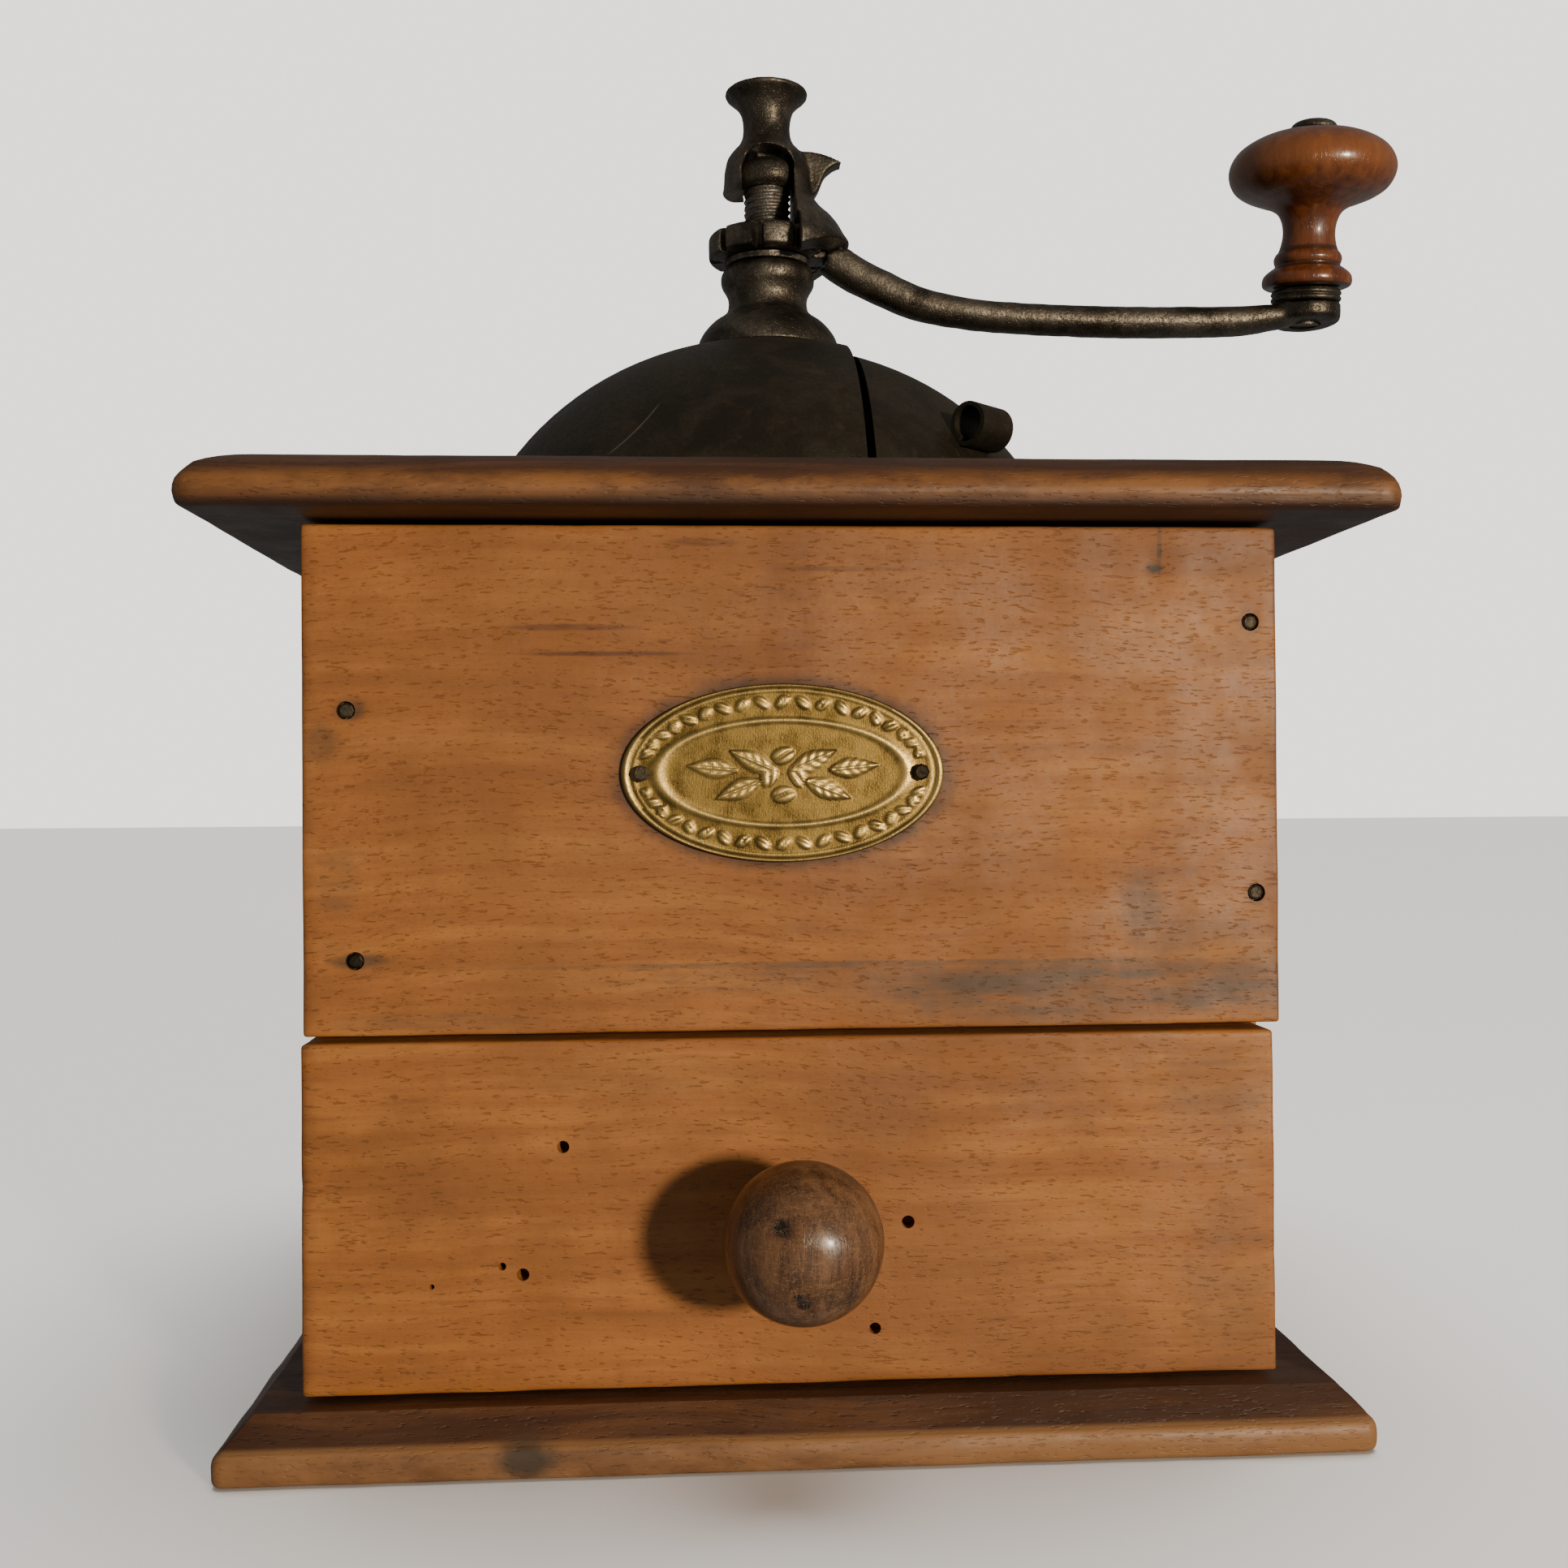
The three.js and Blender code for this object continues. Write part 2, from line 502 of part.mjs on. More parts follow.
const spur = crossPrism([
  [6.4, 229.4], [9.9, 229.2], [12.6, 228.3], [15.2, 227.2], [13.2, 226.3], [11.7, 225], [10.8, 223.2],
  [8, 220.6],
], [-2.4, 2.4]);
const DOWEL = { x: 14.4, bottom: 205, top: 212.2, radius: 1.5 };
const dowelHole = rod(DOWEL.radius + GAP, [DOWEL.bottom - GAP, DOWEL.top + GAP], [DOWEL.x, 0]);
const head = cut(
  join(bell, spur),
  cavity,
  crossPrism(archway, [-20, 20]),
  box([-20, WINDOW_RIGHT], [-20, 20], [200, 219.3]),
  box([-20, 9], [-20, 20], [200, RING_ROOM + 0.5]),
  crossPrism([jointAt(0, 0), jointAt(20, 0), [20, 195], [0, 195]], [-20, 20]),
  box([-TANG - GAP, TANG + GAP], [-TANG - GAP, TANG + GAP], [CAVITY_TOP - 1, TANG_TOP + 0.4]),
  dowelHole,
);
piece(crankGroup, "crank_head", head, iron);

const ARM_LINE = [
  [6.5, 214.4], [12.7, 208.6], [17.6, 205.4], [23.7, 202.2], [31.2, 199], [42, 197.1], [54.5, 196.3],
  [70.5, 196], [86.5, 196.2], [97.5, 196.5], [104.3, 197.2], [110, 198.1],
].map(([x, z]) => new THREE.Vector3(x, 0, z));
const KNOB_FOOT = [CRANK_REACH, 0, EYE_TOP];
const armSection = new THREE.Shape().absellipse(0, 0, 4, 3.15, 0, 2 * Math.PI);
const armSweep = solid(new THREE.ExtrudeGeometry(armSection, {
  steps: 24,
  curveSegments: 5,
  extrudePath: new THREE.CatmullRomCurve3(ARM_LINE),
}));

// Leans a solid whose foot is at the origin to the front, and sets it on the arm's eye.
function leaning(shape) {
  return shape.rotate([KNOB_LEAN, 0, 0]).translate(KNOB_FOOT);
}
const arm = cut(
  join(armSweep, rod(7, [EYE_BOTTOM, EYE_TOP + 1.2], [CRANK_REACH, 0], 18)),
  crossPrism([jointAt(-5, -GAP), jointAt(30, -GAP), [30, 230], [-5, 230]], [-20, 20]),
  rod(RING_RADIUS + GAP, [206, 230], [0, 0], 27),
  leaning(box([-10.9, 15], [-10, 10], [0, 10])),
  leaning(rod(PIN_RADIUS + GAP, [-10, 10], [0, 0], 16)),
  dowelHole,
);
piece(crankGroup, "crank_arm", arm, iron);
piece(crankGroup, "crank_dowel", rod(DOWEL.radius, [DOWEL.bottom, DOWEL.top], [DOWEL.x, 0]), steel);

// The top of the arm's eye is square to the leaning pin.
// The pin, the ferrule and the knob are upright here, with the top of the arm's eye at 0.
const FERRULE = { bottom: GAP, top: 2.7, radius: 7 };
const KNOB_TOP = 33.9;
const KNOB_BORE = PIN_RADIUS + GAP;
const PIN_BOTTOM = EYE_BOTTOM - EYE_TOP;
const pinRivet = turned([
  [0, PIN_BOTTOM], [PIN_RADIUS, PIN_BOTTOM], [PIN_RADIUS, KNOB_TOP + GAP], [4.6, KNOB_TOP + GAP],
  [4.3, 35.2], [2.8, 36], [0, 36.2],
], 14);
piece(crankGroup, "knob_pin", leaning(pinRivet), steel);
const ferrule = turnedRing([
  [KNOB_BORE, FERRULE.bottom], [FERRULE.radius, FERRULE.bottom], [FERRULE.radius, FERRULE.top],
  [KNOB_BORE, FERRULE.top],
], 18);
piece(crankGroup, "knob_ferrule", leaning(ferrule), steel);
const crankKnob = turnedRing([
  [KNOB_BORE, 3], [8.4, 3], [9, 4], [8.8, 5.4], [7.4, 6.7], [6.5, 7.5], [6.8, 8.4], [6.8, 9.4],
  [6, 10.4], [5.4, 12.2], [5.2, 14.2], [5.6, 16.4], [6.6, 18.2], [9.2, 19.5], [12.6, 20.8],
  [15.4, 22.8], [16.5, 25.4], [15.9, 28.2], [13.4, 31], [9.4, 33], [5, KNOB_TOP], [KNOB_BORE, KNOB_TOP],
], 20);
piece(crankGroup, "crank_knob", leaning(crankKnob), knobWood);

// ---- Drawer ----
const DRAWER_FACE = -CASE_Y - DRAWER_PROUD;
const DRAWER_INNER = DRAWER_FACE + 10.6;
const DRAWER_BACK = 67;
const DRAWER_HALF_FACE = 74.4;
const DRAWER_BOTTOM = 10.1;
const BOX_HEIGHT = [9.7, 57.5]; // bottom and top of the drawer's box
const KNOB_PLACE = { x: -1.1, z: 36.3 };
const knobScrewHole = crossRod(1.8, [DRAWER_FACE - 20, DRAWER_INNER + 1], [KNOB_PLACE.x, KNOB_PLACE.z]);
const drawerFront = box(
  [DRAWER_SHIFT - DRAWER_HALF_FACE, DRAWER_SHIFT + DRAWER_HALF_FACE],
  [DRAWER_FACE, DRAWER_INNER],
  [DRAWER_BOTTOM, DRAWER_TOP],
);
piece(drawerGroup, "drawer_front", cut(drawerFront, knobScrewHole), caseWood);
for (const [side, sign] of [["left", -1], ["right", 1]]) {
  const ends = [sign * DRAWER_BOX_X, sign * (DRAWER_BOX_X - DRAWER_WALL)].sort((a, b) => a - b);
  const wall = box(ends, [DRAWER_INNER + GAP, DRAWER_BACK], BOX_HEIGHT);
  piece(drawerGroup, `drawer_side_${side}`, wall, caseWood);
}
const DRAWER_INSIDE = DRAWER_BOX_X - DRAWER_WALL - GAP;
const acrossDrawer = [-DRAWER_INSIDE, DRAWER_INSIDE];
const drawerBack = box(acrossDrawer, [DRAWER_BACK - 6, DRAWER_BACK], BOX_HEIGHT);
piece(drawerGroup, "drawer_back", drawerBack, caseWood);
const drawerFloor = box(acrossDrawer, [DRAWER_INNER + GAP, DRAWER_BACK - 6 - GAP], [10.5, 14]);
piece(drawerGroup, "drawer_bottom", drawerFloor, caseWood);

// The knob is turned round its own axis, with its foot at 0, and then laid to face the front.
const drawerKnob = cut(
  turned([
    [0, 0], [7, 0], [7.2, 1.3], [5.7, 3.4], [5, 5.4], [5.9, 7.9], [9, 10.9], [11.1, 14.2], [11.6, 17],
    [11, 20.5], [8.9, 24], [5.3, 27], [2.4, 28.1], [0, 28.3],
  ], 16),
  rod(1.8, [-1, 18]),
);
const knobFoot = [KNOB_PLACE.x, DRAWER_FACE - GAP, KNOB_PLACE.z];
piece(drawerGroup, "drawer_knob", drawerKnob, knobWood, knobFoot, FACING_FRONT);
const knobScrew = fastener(3.2, 1.8, 1.5, 29, 8);
const knobScrewSeat = [KNOB_PLACE.x, DRAWER_INNER + GAP + 1.8, KNOB_PLACE.z];
piece(drawerGroup, "drawer_knob_screw", knobScrew, steel, knobScrewSeat, FACING_BACK);

export default grinder;
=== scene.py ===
"""The looks of a hand crank coffee grinder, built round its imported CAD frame.

Lengths here are millimetres in the grinder's own frame, and MM turns them into metres.
"""
import json
import math

import bmesh
import bpy
from mathutils import Matrix, Vector, noise


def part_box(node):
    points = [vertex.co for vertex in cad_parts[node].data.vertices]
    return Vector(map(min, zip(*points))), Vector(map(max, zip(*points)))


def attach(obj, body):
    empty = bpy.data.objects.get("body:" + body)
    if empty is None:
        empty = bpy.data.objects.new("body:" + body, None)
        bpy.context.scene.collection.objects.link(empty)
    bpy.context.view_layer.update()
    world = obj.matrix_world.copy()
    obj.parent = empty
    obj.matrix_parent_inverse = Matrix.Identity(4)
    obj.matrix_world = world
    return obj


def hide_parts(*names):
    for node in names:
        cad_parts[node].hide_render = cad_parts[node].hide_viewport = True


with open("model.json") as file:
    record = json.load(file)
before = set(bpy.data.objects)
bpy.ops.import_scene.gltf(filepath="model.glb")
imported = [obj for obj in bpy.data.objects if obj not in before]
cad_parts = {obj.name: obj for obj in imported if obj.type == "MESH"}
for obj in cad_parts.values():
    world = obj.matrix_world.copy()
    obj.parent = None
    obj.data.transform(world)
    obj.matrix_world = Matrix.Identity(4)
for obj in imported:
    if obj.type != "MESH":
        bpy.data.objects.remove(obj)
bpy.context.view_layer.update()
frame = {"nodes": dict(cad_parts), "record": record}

MM = 0.001


# ---- Places from the frame ----
def corners(node):
    """A CAD node's lowest and highest corner in millimetres."""
    low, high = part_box(node)
    return low / MM, high / MM


def middle(node):
    low, high = corners(node)
    return (low + high) / 2


# ---- Meshes ----
def soften(obj, sharp=35):
    """Smooth shading, with the edges sharper than an angle in degrees left crisp."""
    obj.data.shade_smooth()
    obj.data.set_sharp_from_angle(angle=math.radians(sharp))
    return obj


def build(name, points, faces, sharp=35):
    """A mesh object from points in millimetres."""
    mesh = bpy.data.meshes.new(name)
    mesh.from_pydata([Vector(point) * MM for point in points], [], faces)
    work = bmesh.new()
    work.from_mesh(mesh)
    bmesh.ops.remove_doubles(work, verts=work.verts, dist=1e-7)
    bmesh.ops.dissolve_degenerate(work, edges=work.edges, dist=1e-8)
    bmesh.ops.recalc_face_normals(work, faces=work.faces)
    work.to_mesh(mesh)
    work.free()
    obj = bpy.data.objects.new(name, mesh)
    bpy.context.scene.collection.objects.link(obj)
    return soften(obj, sharp)


def apply_modifiers(obj, sharp=35):
    depsgraph = bpy.context.evaluated_depsgraph_get()
    shaped = bpy.data.meshes.new_from_object(obj.evaluated_get(depsgraph))
    obj.modifiers.clear()
    obj.data = shaped
    return soften(obj, sharp)


def joined(first, *others):
    """Puts other objects' meshes into the first, as separate closed shells."""
    work = bmesh.new()
    for obj in (first, *others):
        work.from_mesh(obj.data)
    work.to_mesh(first.data)
    work.free()
    for obj in others:
        bpy.data.objects.remove(obj)
    return first


def combine(obj, other, operation, sharp=35):
    """Cuts another object from this one, or keeps what they share."""
    cutter = obj.modifiers.new("combine", "BOOLEAN")
    cutter.operation = operation
    cutter.solver = "EXACT"
    cutter.object = other
    apply_modifiers(obj, sharp)
    bpy.data.objects.remove(other)
    return obj


def carve(obj, *tools, sharp=35):
    return combine(obj, joined(*tools) if len(tools) > 1 else tools[0], "DIFFERENCE", sharp)


def cast(obj, voxel, rounds=3):
    """Fuses an object's shells into one skin with the soft corners of a casting."""
    remesh = obj.modifiers.new("remesh", "REMESH")
    remesh.mode = "VOXEL"
    remesh.voxel_size = voxel * MM
    smooth = obj.modifiers.new("smooth", "SMOOTH")
    smooth.factor = 0.5
    smooth.iterations = rounds
    return apply_modifiers(obj, 60)


def roughen(obj, depth, scale, seed=0.0):
    """Moves the surface in by up to a depth in millimetres, in soft patches of a size."""
    normals = [vertex.normal.copy() for vertex in obj.data.vertices]
    for vertex, normal in zip(obj.data.vertices, normals):
        place = vertex.co / (scale * MM) + Vector((seed, seed * 0.7, seed * 1.3))
        vertex.co -= normal * (0.5 + 0.5 * noise.noise(place)) * depth * MM
    return obj


def spline(points, steps):
    """Points along a smooth curve through the given ones, which is a Catmull-Rom spline."""
    last = len(points) - 1
    result = []
    for i in range(last):
        near = [points[max(i - 1, 0)], points[i], points[i + 1], points[min(i + 2, last)]]
        for step in range(steps):
            t = step / steps
            weights = (
                -t / 2 + t**2 - t**3 / 2,
                1 - 2.5 * t**2 + 1.5 * t**3,
                t / 2 + 2 * t**2 - 1.5 * t**3,
                -(t**2) / 2 + t**3 / 2,
            )
            axes = range(len(points[0]))
            result.append([sum(w * p[axis] for w, p in zip(weights, near)) for axis in axes])
    return [*result, list(points[-1])]


def outline(*runs, steps=5):
    """A profile of smooth runs that meet at corners; a run of two points is a straight line."""
    return [point for run in runs for point in (spline(run, steps) if len(run) > 2 else run)]


def turned(name, profile, centre=(0, 0), segments=96, closed=False, shape=None, sharp=35):
    """A [radius, height] profile turned about an upright axis. shape(radius, angle, height) may change
    the radius as the surface goes round."""
    points, faces = [], []
    for radius, height in profile:
        for i in range(segments):
            angle = 2 * math.pi * i / segments
            reach = shape(radius, angle, height) if shape else radius
            x, y = centre[0] + reach * math.cos(angle), centre[1] + reach * math.sin(angle)
            points.append((x, y, height))
    rows = len(profile)
    for row in range(rows if closed else rows - 1):
        for i in range(segments):
            a, b = row * segments + i, row * segments + (i + 1) % segments
            shift = segments if row + 1 < rows else -row * segments
            faces.append((a, b, b + shift, a + shift))
    return build(name, points, faces, sharp)


def skin(rows, around):
    """The faces of a tube of rings, with its two ends closed."""
    faces = []
    for row in range(rows - 1):
        for i in range(around):
            a, b = row * around + i, row * around + (i + 1) % around
            faces.append((a, b, b + around, a + around))
    return [*faces, tuple(range(around)), tuple(range((rows - 1) * around, rows * around))]


def rod(name, radius, start, end, segments=24):
    """A plain round rod between two points, for cutting holes."""
    start, end = Vector(start), Vector(end)
    turn = (end - start).to_track_quat("Z", "Y").to_matrix()
    points = []
    for origin in (start, end):
        for i in range(segments):
            angle = 2 * math.pi * i / segments
            points.append(origin + turn @ Vector((radius * math.cos(angle), radius * math.sin(angle), 0)))
    return build(name, points, skin(2, segments))


def prism(name, shape, low, high, along="Z"):
    """A flat outline pushed from low to high along Z, or an [x, z] outline along Y."""
    points = []
    for level in (low, high):
        points += [(a, b, level) if along == "Z" else (a, level, b) for a, b in shape]
    return build(name, points, skin(2, len(shape)))


def stops(low, high, radius, cell):
    """Grid positions across a box: close together at its rounded edges, then even."""
    inner = max(1, round((high - low - 2 * radius) / cell))
    even = [low + radius + (high - low - 2 * radius) * i / inner for i in range(inner + 1)]
    edge = [0, 0.2, 0.5]
    return [low + radius * t for t in edge] + even + [high - radius * t for t in reversed(edge)]


def worn_box(name, low, high, radius=0.8, cell=5.0, wear=0.7, wave=0.06, dents=()):
    """A board with rounded, unevenly worn edges and slightly uneven faces. A dent is
    (x, z, width, depth) in the front face."""
    low, high = Vector(low), Vector(high)
    grid = [stops(low[axis], high[axis], radius * 1.6, cell) for axis in range(3)]
    last = [len(line) - 1 for line in grid]
    points, numbers, faces = [], {}, []

    def vertex(i, j, k):
        if (i, j, k) in numbers:
            return numbers[i, j, k]
        corner = Vector((grid[0][i], grid[1][j], grid[2][k]))
        local = radius * (1 + wear * noise.noise(corner * 0.09 + Vector((3.1, 0, 7.7))))
        local += radius * 1.5 * max(0.0, noise.noise(corner * 0.23) - 0.42)
        local = min(local, radius * 1.55)
        core = Vector([min(max(corner[axis], low[axis] + local), high[axis] - local) for axis in range(3)])
        way = (corner - core).normalized()
        place = core + way * local
        place -= way * wave * (0.5 + 0.5 * noise.noise(corner * 0.05))
        if j == 0:
            for x, z, width, depth in dents:
                gone = math.hypot(corner.x - x, corner.z - z) / width
                place.y += depth * math.exp(-gone * gone * 2)
        points.append(place)
        numbers[i, j, k] = len(points) - 1
        return numbers[i, j, k]

    for axis in range(3):
        u, v = (axis + 1) % 3, (axis + 2) % 3
        for side in (0, last[axis]):
            for a in range(last[u]):
                for b in range(last[v]):
                    ring = []
                    for da, db in ((0, 0), (1, 0), (1, 1), (0, 1)):
                        place = [0, 0, 0]
                        place[axis], place[u], place[v] = side, a + da, b + db
                        ring.append(vertex(*place))
                    faces.append(tuple(ring))
    return build(name, points, faces, 50)


CORNER_SIGNS = ((1, 1), (-1, 1), (-1, -1), (1, -1))  # the corners of a board, one after another


def moulded_board(name, half, profile, corner, wear=0.25):
    """A board with a moulded edge: a rounded rectangle for each [inset, height] of its profile."""
    side_steps, corner_steps = 36, 5
    points = []
    for inset, height in profile:
        radius = max(corner - inset, 0.5)
        flat = [half[axis] - inset - radius for axis in range(2)]
        ring = []
        for quarter, sign in enumerate(CORNER_SIGNS):
            centre = (sign[0] * flat[0], sign[1] * flat[1])
            following = CORNER_SIGNS[(quarter + 1) % 4]
            for i in range(corner_steps + 1):
                angle = (quarter + i / corner_steps) * math.pi / 2
                ring.append((centre[0] + radius * math.cos(angle), centre[1] + radius * math.sin(angle)))
            end = ring[-1]
            target = (
                following[0] * flat[0] + radius * math.cos(angle),
                following[1] * flat[1] + radius * math.sin(angle),
            )
            for i in range(1, side_steps):
                t = i / side_steps
                ring.append((end[0] + (target[0] - end[0]) * t, end[1] + (target[1] - end[1]) * t))
        for x, y in ring:
            place = Vector((x * 0.06, y * 0.06, height * 0.1))
            loss = wear * max(0.0, 0.45 + noise.noise(place) + 0.6 * noise.noise(place * 4))
            shrink = 1 - loss / max(abs(x), abs(y))
            points.append((x * shrink, y * shrink, height))
    return build(name, points, skin(len(profile), len(ring)), 40)


# ---- Materials ----
class Graph:
    """A material's nodes under short names. Places are the object's own, in millimetres."""

    def __init__(self, name):
        self.material = bpy.data.materials.new(name)
        self.material.use_nodes = True
        self.tree = self.material.node_tree
        self.shader = self.tree.nodes["Principled BSDF"]
        raw = self.node("ShaderNodeTexCoord").outputs["Object"]
        scaled = self.node("ShaderNodeVectorMath", {0: raw, "Scale": 1 / MM}, operation="SCALE")
        self.place = scaled.outputs[0]
        split = self.node("ShaderNodeSeparateXYZ", {0: self.place})
        self.x, self.y, self.z = split.outputs

    def node(self, kind, inputs=None, **settings):
        made = self.tree.nodes.new(kind)
        for key, value in settings.items():
            setattr(made, key, value)
        for key, value in (inputs or {}).items():
            self.feed(made.inputs[key], value)
        return made

    def feed(self, socket, value):
        if isinstance(value, bpy.types.NodeSocket):
            self.tree.links.new(value, socket)
        else:
            socket.default_value = value

    def math(self, operation, first, second=0.0, clamp=False):
        made = self.node("ShaderNodeMath", {0: first, 1: second}, operation=operation, use_clamp=clamp)
        return made.outputs[0]

    def times(self, first, second):
        return self.math("MULTIPLY", first, second)

    def plus(self, first, second):
        return self.math("ADD", first, second)

    def minus(self, first, second, clamp=False):
        return self.math("SUBTRACT", first, second, clamp)

    def apart(self, first, second):
        """The distance between two values."""
        return self.math("ABSOLUTE", self.minus(first, second))

    def stretch(self, factors, vector=None):
        made = self.node("ShaderNodeVectorMath", {0: vector or self.place, 1: factors}, operation="MULTIPLY")
        return made.outputs[0]

    def noise(self, scale, detail=4.0, roughness=0.55, vector=None, distortion=0.0):
        inputs = {"Vector": vector or self.place, "Scale": scale, "Detail": detail}
        inputs.update({"Roughness": roughness, "Distortion": distortion})
        return self.node("ShaderNodeTexNoise", inputs).outputs[0]

    def step(self, value, low, high, start=0.0, end=1.0):
        inputs = {0: value, 1: low, 2: high, 3: start, 4: end}
        return self.node("ShaderNodeMapRange", inputs, interpolation_type="SMOOTHSTEP").outputs[0]

    def mix(self, factor, first, second):
        return self.node("ShaderNodeMix", {0: factor, 6: first, 7: second}, data_type="RGBA").outputs[2]

    def ramp(self, value, *colours):
        made = self.node("ShaderNodeValToRGB", {0: value})
        ramp = made.color_ramp
        while len(ramp.elements) < len(colours):
            ramp.elements.new(0.5)
        for element, (position, colour) in zip(ramp.elements, colours):
            element.position = position
            element.color = (*colour, 1)
        return made.outputs[0]

    def spot(self, centre, radii, soft=0.35, wobble=0.0):
        """1 inside an ellipse of the front view, or an ellipsoid, fading to 0 outside it."""
        if len(centre) == 2:
            centre, radii = (centre[0], 0, centre[1]), (radii[0], 1e6, radii[1])
        shifted = self.node("ShaderNodeVectorMath", {0: self.place, 1: centre}, operation="SUBTRACT")
        scaled = self.stretch(tuple(1 / radius for radius in radii), shifted.outputs[0])
        reach = self.node("ShaderNodeVectorMath", {0: scaled}, operation="LENGTH").outputs[1]
        if wobble:
            ripple = self.times(self.minus(self.noise(0.35), 0.5), wobble)
            reach = self.plus(reach, ripple)
        return self.step(reach, 1 - soft, 1 + soft, 1, 0)

    def bump(self, height, distance, strength=1.0, under=None):
        inputs = {"Height": height, "Distance": distance * MM, "Strength": strength}
        if under:
            inputs["Normal"] = under
        return self.node("ShaderNodeBump", inputs).outputs[0]

    def finish(self, colour, roughness, metallic=0.0, normal=None, **constants):
        self.feed(self.shader.inputs["Base Color"], colour)
        self.feed(self.shader.inputs["Roughness"], roughness)
        self.feed(self.shader.inputs["Metallic"], metallic)
        if normal:
            self.feed(self.shader.inputs["Normal"], normal)
        for key, value in constants.items():
            self.shader.inputs[key.replace("_", " ")].default_value = value
        return self.material


def shade(colour, factor):
    return tuple(channel * factor for channel in colour)


def rgba(colour):
    return (*colour, 1)


def wood(name, dark, plain, light, grain=0, rings=0.5, marks=(), edge=None, rough=(0.5, 0.7), coat=0.05):
    """Planed wood with its grain along one axis. A mark is (centre, radii, colour, strength) of a stain
    in the front view. edge(graph, colour) may change the colour further: wear, stains, painted highlights
    and painted shade."""
    g = Graph(name)

    def along(share):
        return [share if axis == grain else 1.0 for axis in range(3)]

    sway = g.noise(0.009, 2, 0.5)
    swayed = g.node("ShaderNodeVectorMath", {0: g.place, 1: (0, 0, 0)}, operation="ADD")
    lift = g.times(g.minus(sway, 0.5), 16)
    shift = g.node("ShaderNodeCombineXYZ", {axis: lift for axis in range(3) if axis != grain})
    g.feed(swayed.inputs[1], shift.outputs[0])
    flow = swayed.outputs[0]
    figure = g.noise(rings * 0.5, 4, 0.6, g.stretch(along(0.05), flow))
    streak = g.noise(rings * 1.9, 3, 0.6, g.stretch(along(0.035), flow))
    flecks = g.noise(2.4, 2, 0.5, g.stretch(along(0.2), flow))
    pores = g.noise(5.0, 2, 0.5, g.stretch(along(0.22)))
    cloud = g.noise(0.03, 4, 0.55)
    mottle = g.noise(0.22, 5, 0.65, g.stretch(along(0.6)))
    short = along(0.16)
    colour = g.ramp(figure, (0.30, shade(plain, 0.8)), (0.46, plain), (0.62, light), (0.8, plain))
    colour = g.mix(g.step(streak, 0.52, 0.8, 0, 0.4), colour, rgba(dark))
    colour = g.mix(g.step(mottle, 0.45, 0.75, 0, 0.42), colour, rgba(shade(plain, 0.68)))
    colour = g.mix(g.step(flecks, 0.62, 0.7, 0, 0.5), colour, rgba(shade(dark, 0.75)))
    colour = g.mix(g.step(pores, 0.6, 0.7, 0, 0.35), colour, rgba(shade(dark, 0.6)))
    colour = g.mix(g.step(cloud, 0.4, 0.68, 0, 0.6), colour, rgba(shade(plain, 0.62)))
    scratches = g.noise(0.5, 2, 0.5, g.stretch(along(0.12)))
    scratch = g.step(g.apart(scratches, 0.5), 0.0015, 0.006, 0.5, 0)
    sparse = g.step(g.noise(0.05, 2, 0.5), 0.52, 0.62)
    colour = g.mix(g.times(scratch, sparse), colour, rgba(shade(dark, 0.6)))
    for centre, radii, tint, strength in marks:
        mask = g.times(g.spot(centre, radii, 0.45, 0.7), strength)
        broken = g.step(g.noise(0.5, 4, 0.6, g.stretch(short)), 0.32, 0.62, 0.35, 1)
        colour = g.mix(g.times(mask, broken), colour, rgba(tint))
    if edge:
        colour = edge(g, colour)
    roughness = g.step(g.noise(0.08, 4, 0.6), 0.3, 0.7, rough[0], rough[1])
    dips = g.times(g.step(flecks, 0.58, 0.72), -0.9)
    normal = g.bump(g.plus(g.times(streak, 0.5), dips), 0.14, 0.7)
    normal = g.bump(g.noise(0.25, 3, 0.5), 0.5, 0.25, normal)
    return g.finish(colour, roughness, 0.0, normal, Coat_Weight=coat, Coat_Roughness=0.35)


def aged_metal(name, bright, dull, rust, metallic=0.85, rough=(0.36, 0.62), grain=0.18, lines=None):
    """Old metal: a dark skin with brighter rubbed places, blotches of rust and a pitted surface."""
    g = Graph(name)
    blotch = g.noise(0.12, 6, 0.62, distortion=0.4)
    fine = g.noise(1.4, 4, 0.6)
    pits = g.noise(2.6, 2, 0.5)
    colour = g.mix(g.step(blotch, 0.35, 0.65), rgba(dull), rgba(bright))
    colour = g.mix(g.step(fine, 0.35, 0.7, 0, 0.45), colour, rgba(shade(dull, 0.6)))
    rusty = g.step(g.noise(0.3, 5, 0.65), 0.55, 0.75)
    colour = g.mix(rusty, colour, rgba(rust))
    if lines:
        colour = lines(g, colour)
    metal = g.minus(metallic, g.times(rusty, metallic * 0.6), clamp=True)
    roughness = g.step(g.plus(g.times(blotch, 0.6), g.times(fine, 0.4)),
                       0.3, 0.7, rough[0], rough[1])
    normal = g.bump(g.plus(fine, g.times(g.step(pits, 0.55, 0.75), -0.7)), grain, 0.6)
    normal = g.bump(blotch, 0.6, 0.3, normal)
    return g.finish(colour, roughness, metal, normal)


# ---- Colours, as linear light ----
CASE = {"dark": (0.17, 0.055, 0.012), "plain": (0.36, 0.128, 0.024), "light": (0.44, 0.172, 0.036)}
BOARD = {"dark": (0.030, 0.011, 0.004), "plain": (0.072, 0.026, 0.008), "light": (0.13, 0.050, 0.015)}
GRIME = (0.045, 0.03, 0.018)
SOOT = (0.085, 0.062, 0.042)
BURNT = (0.10, 0.032, 0.010)
INNER = {"dark": (0.17, 0.09, 0.04), "plain": (0.30, 0.17, 0.08), "light": (0.38, 0.23, 0.12)}

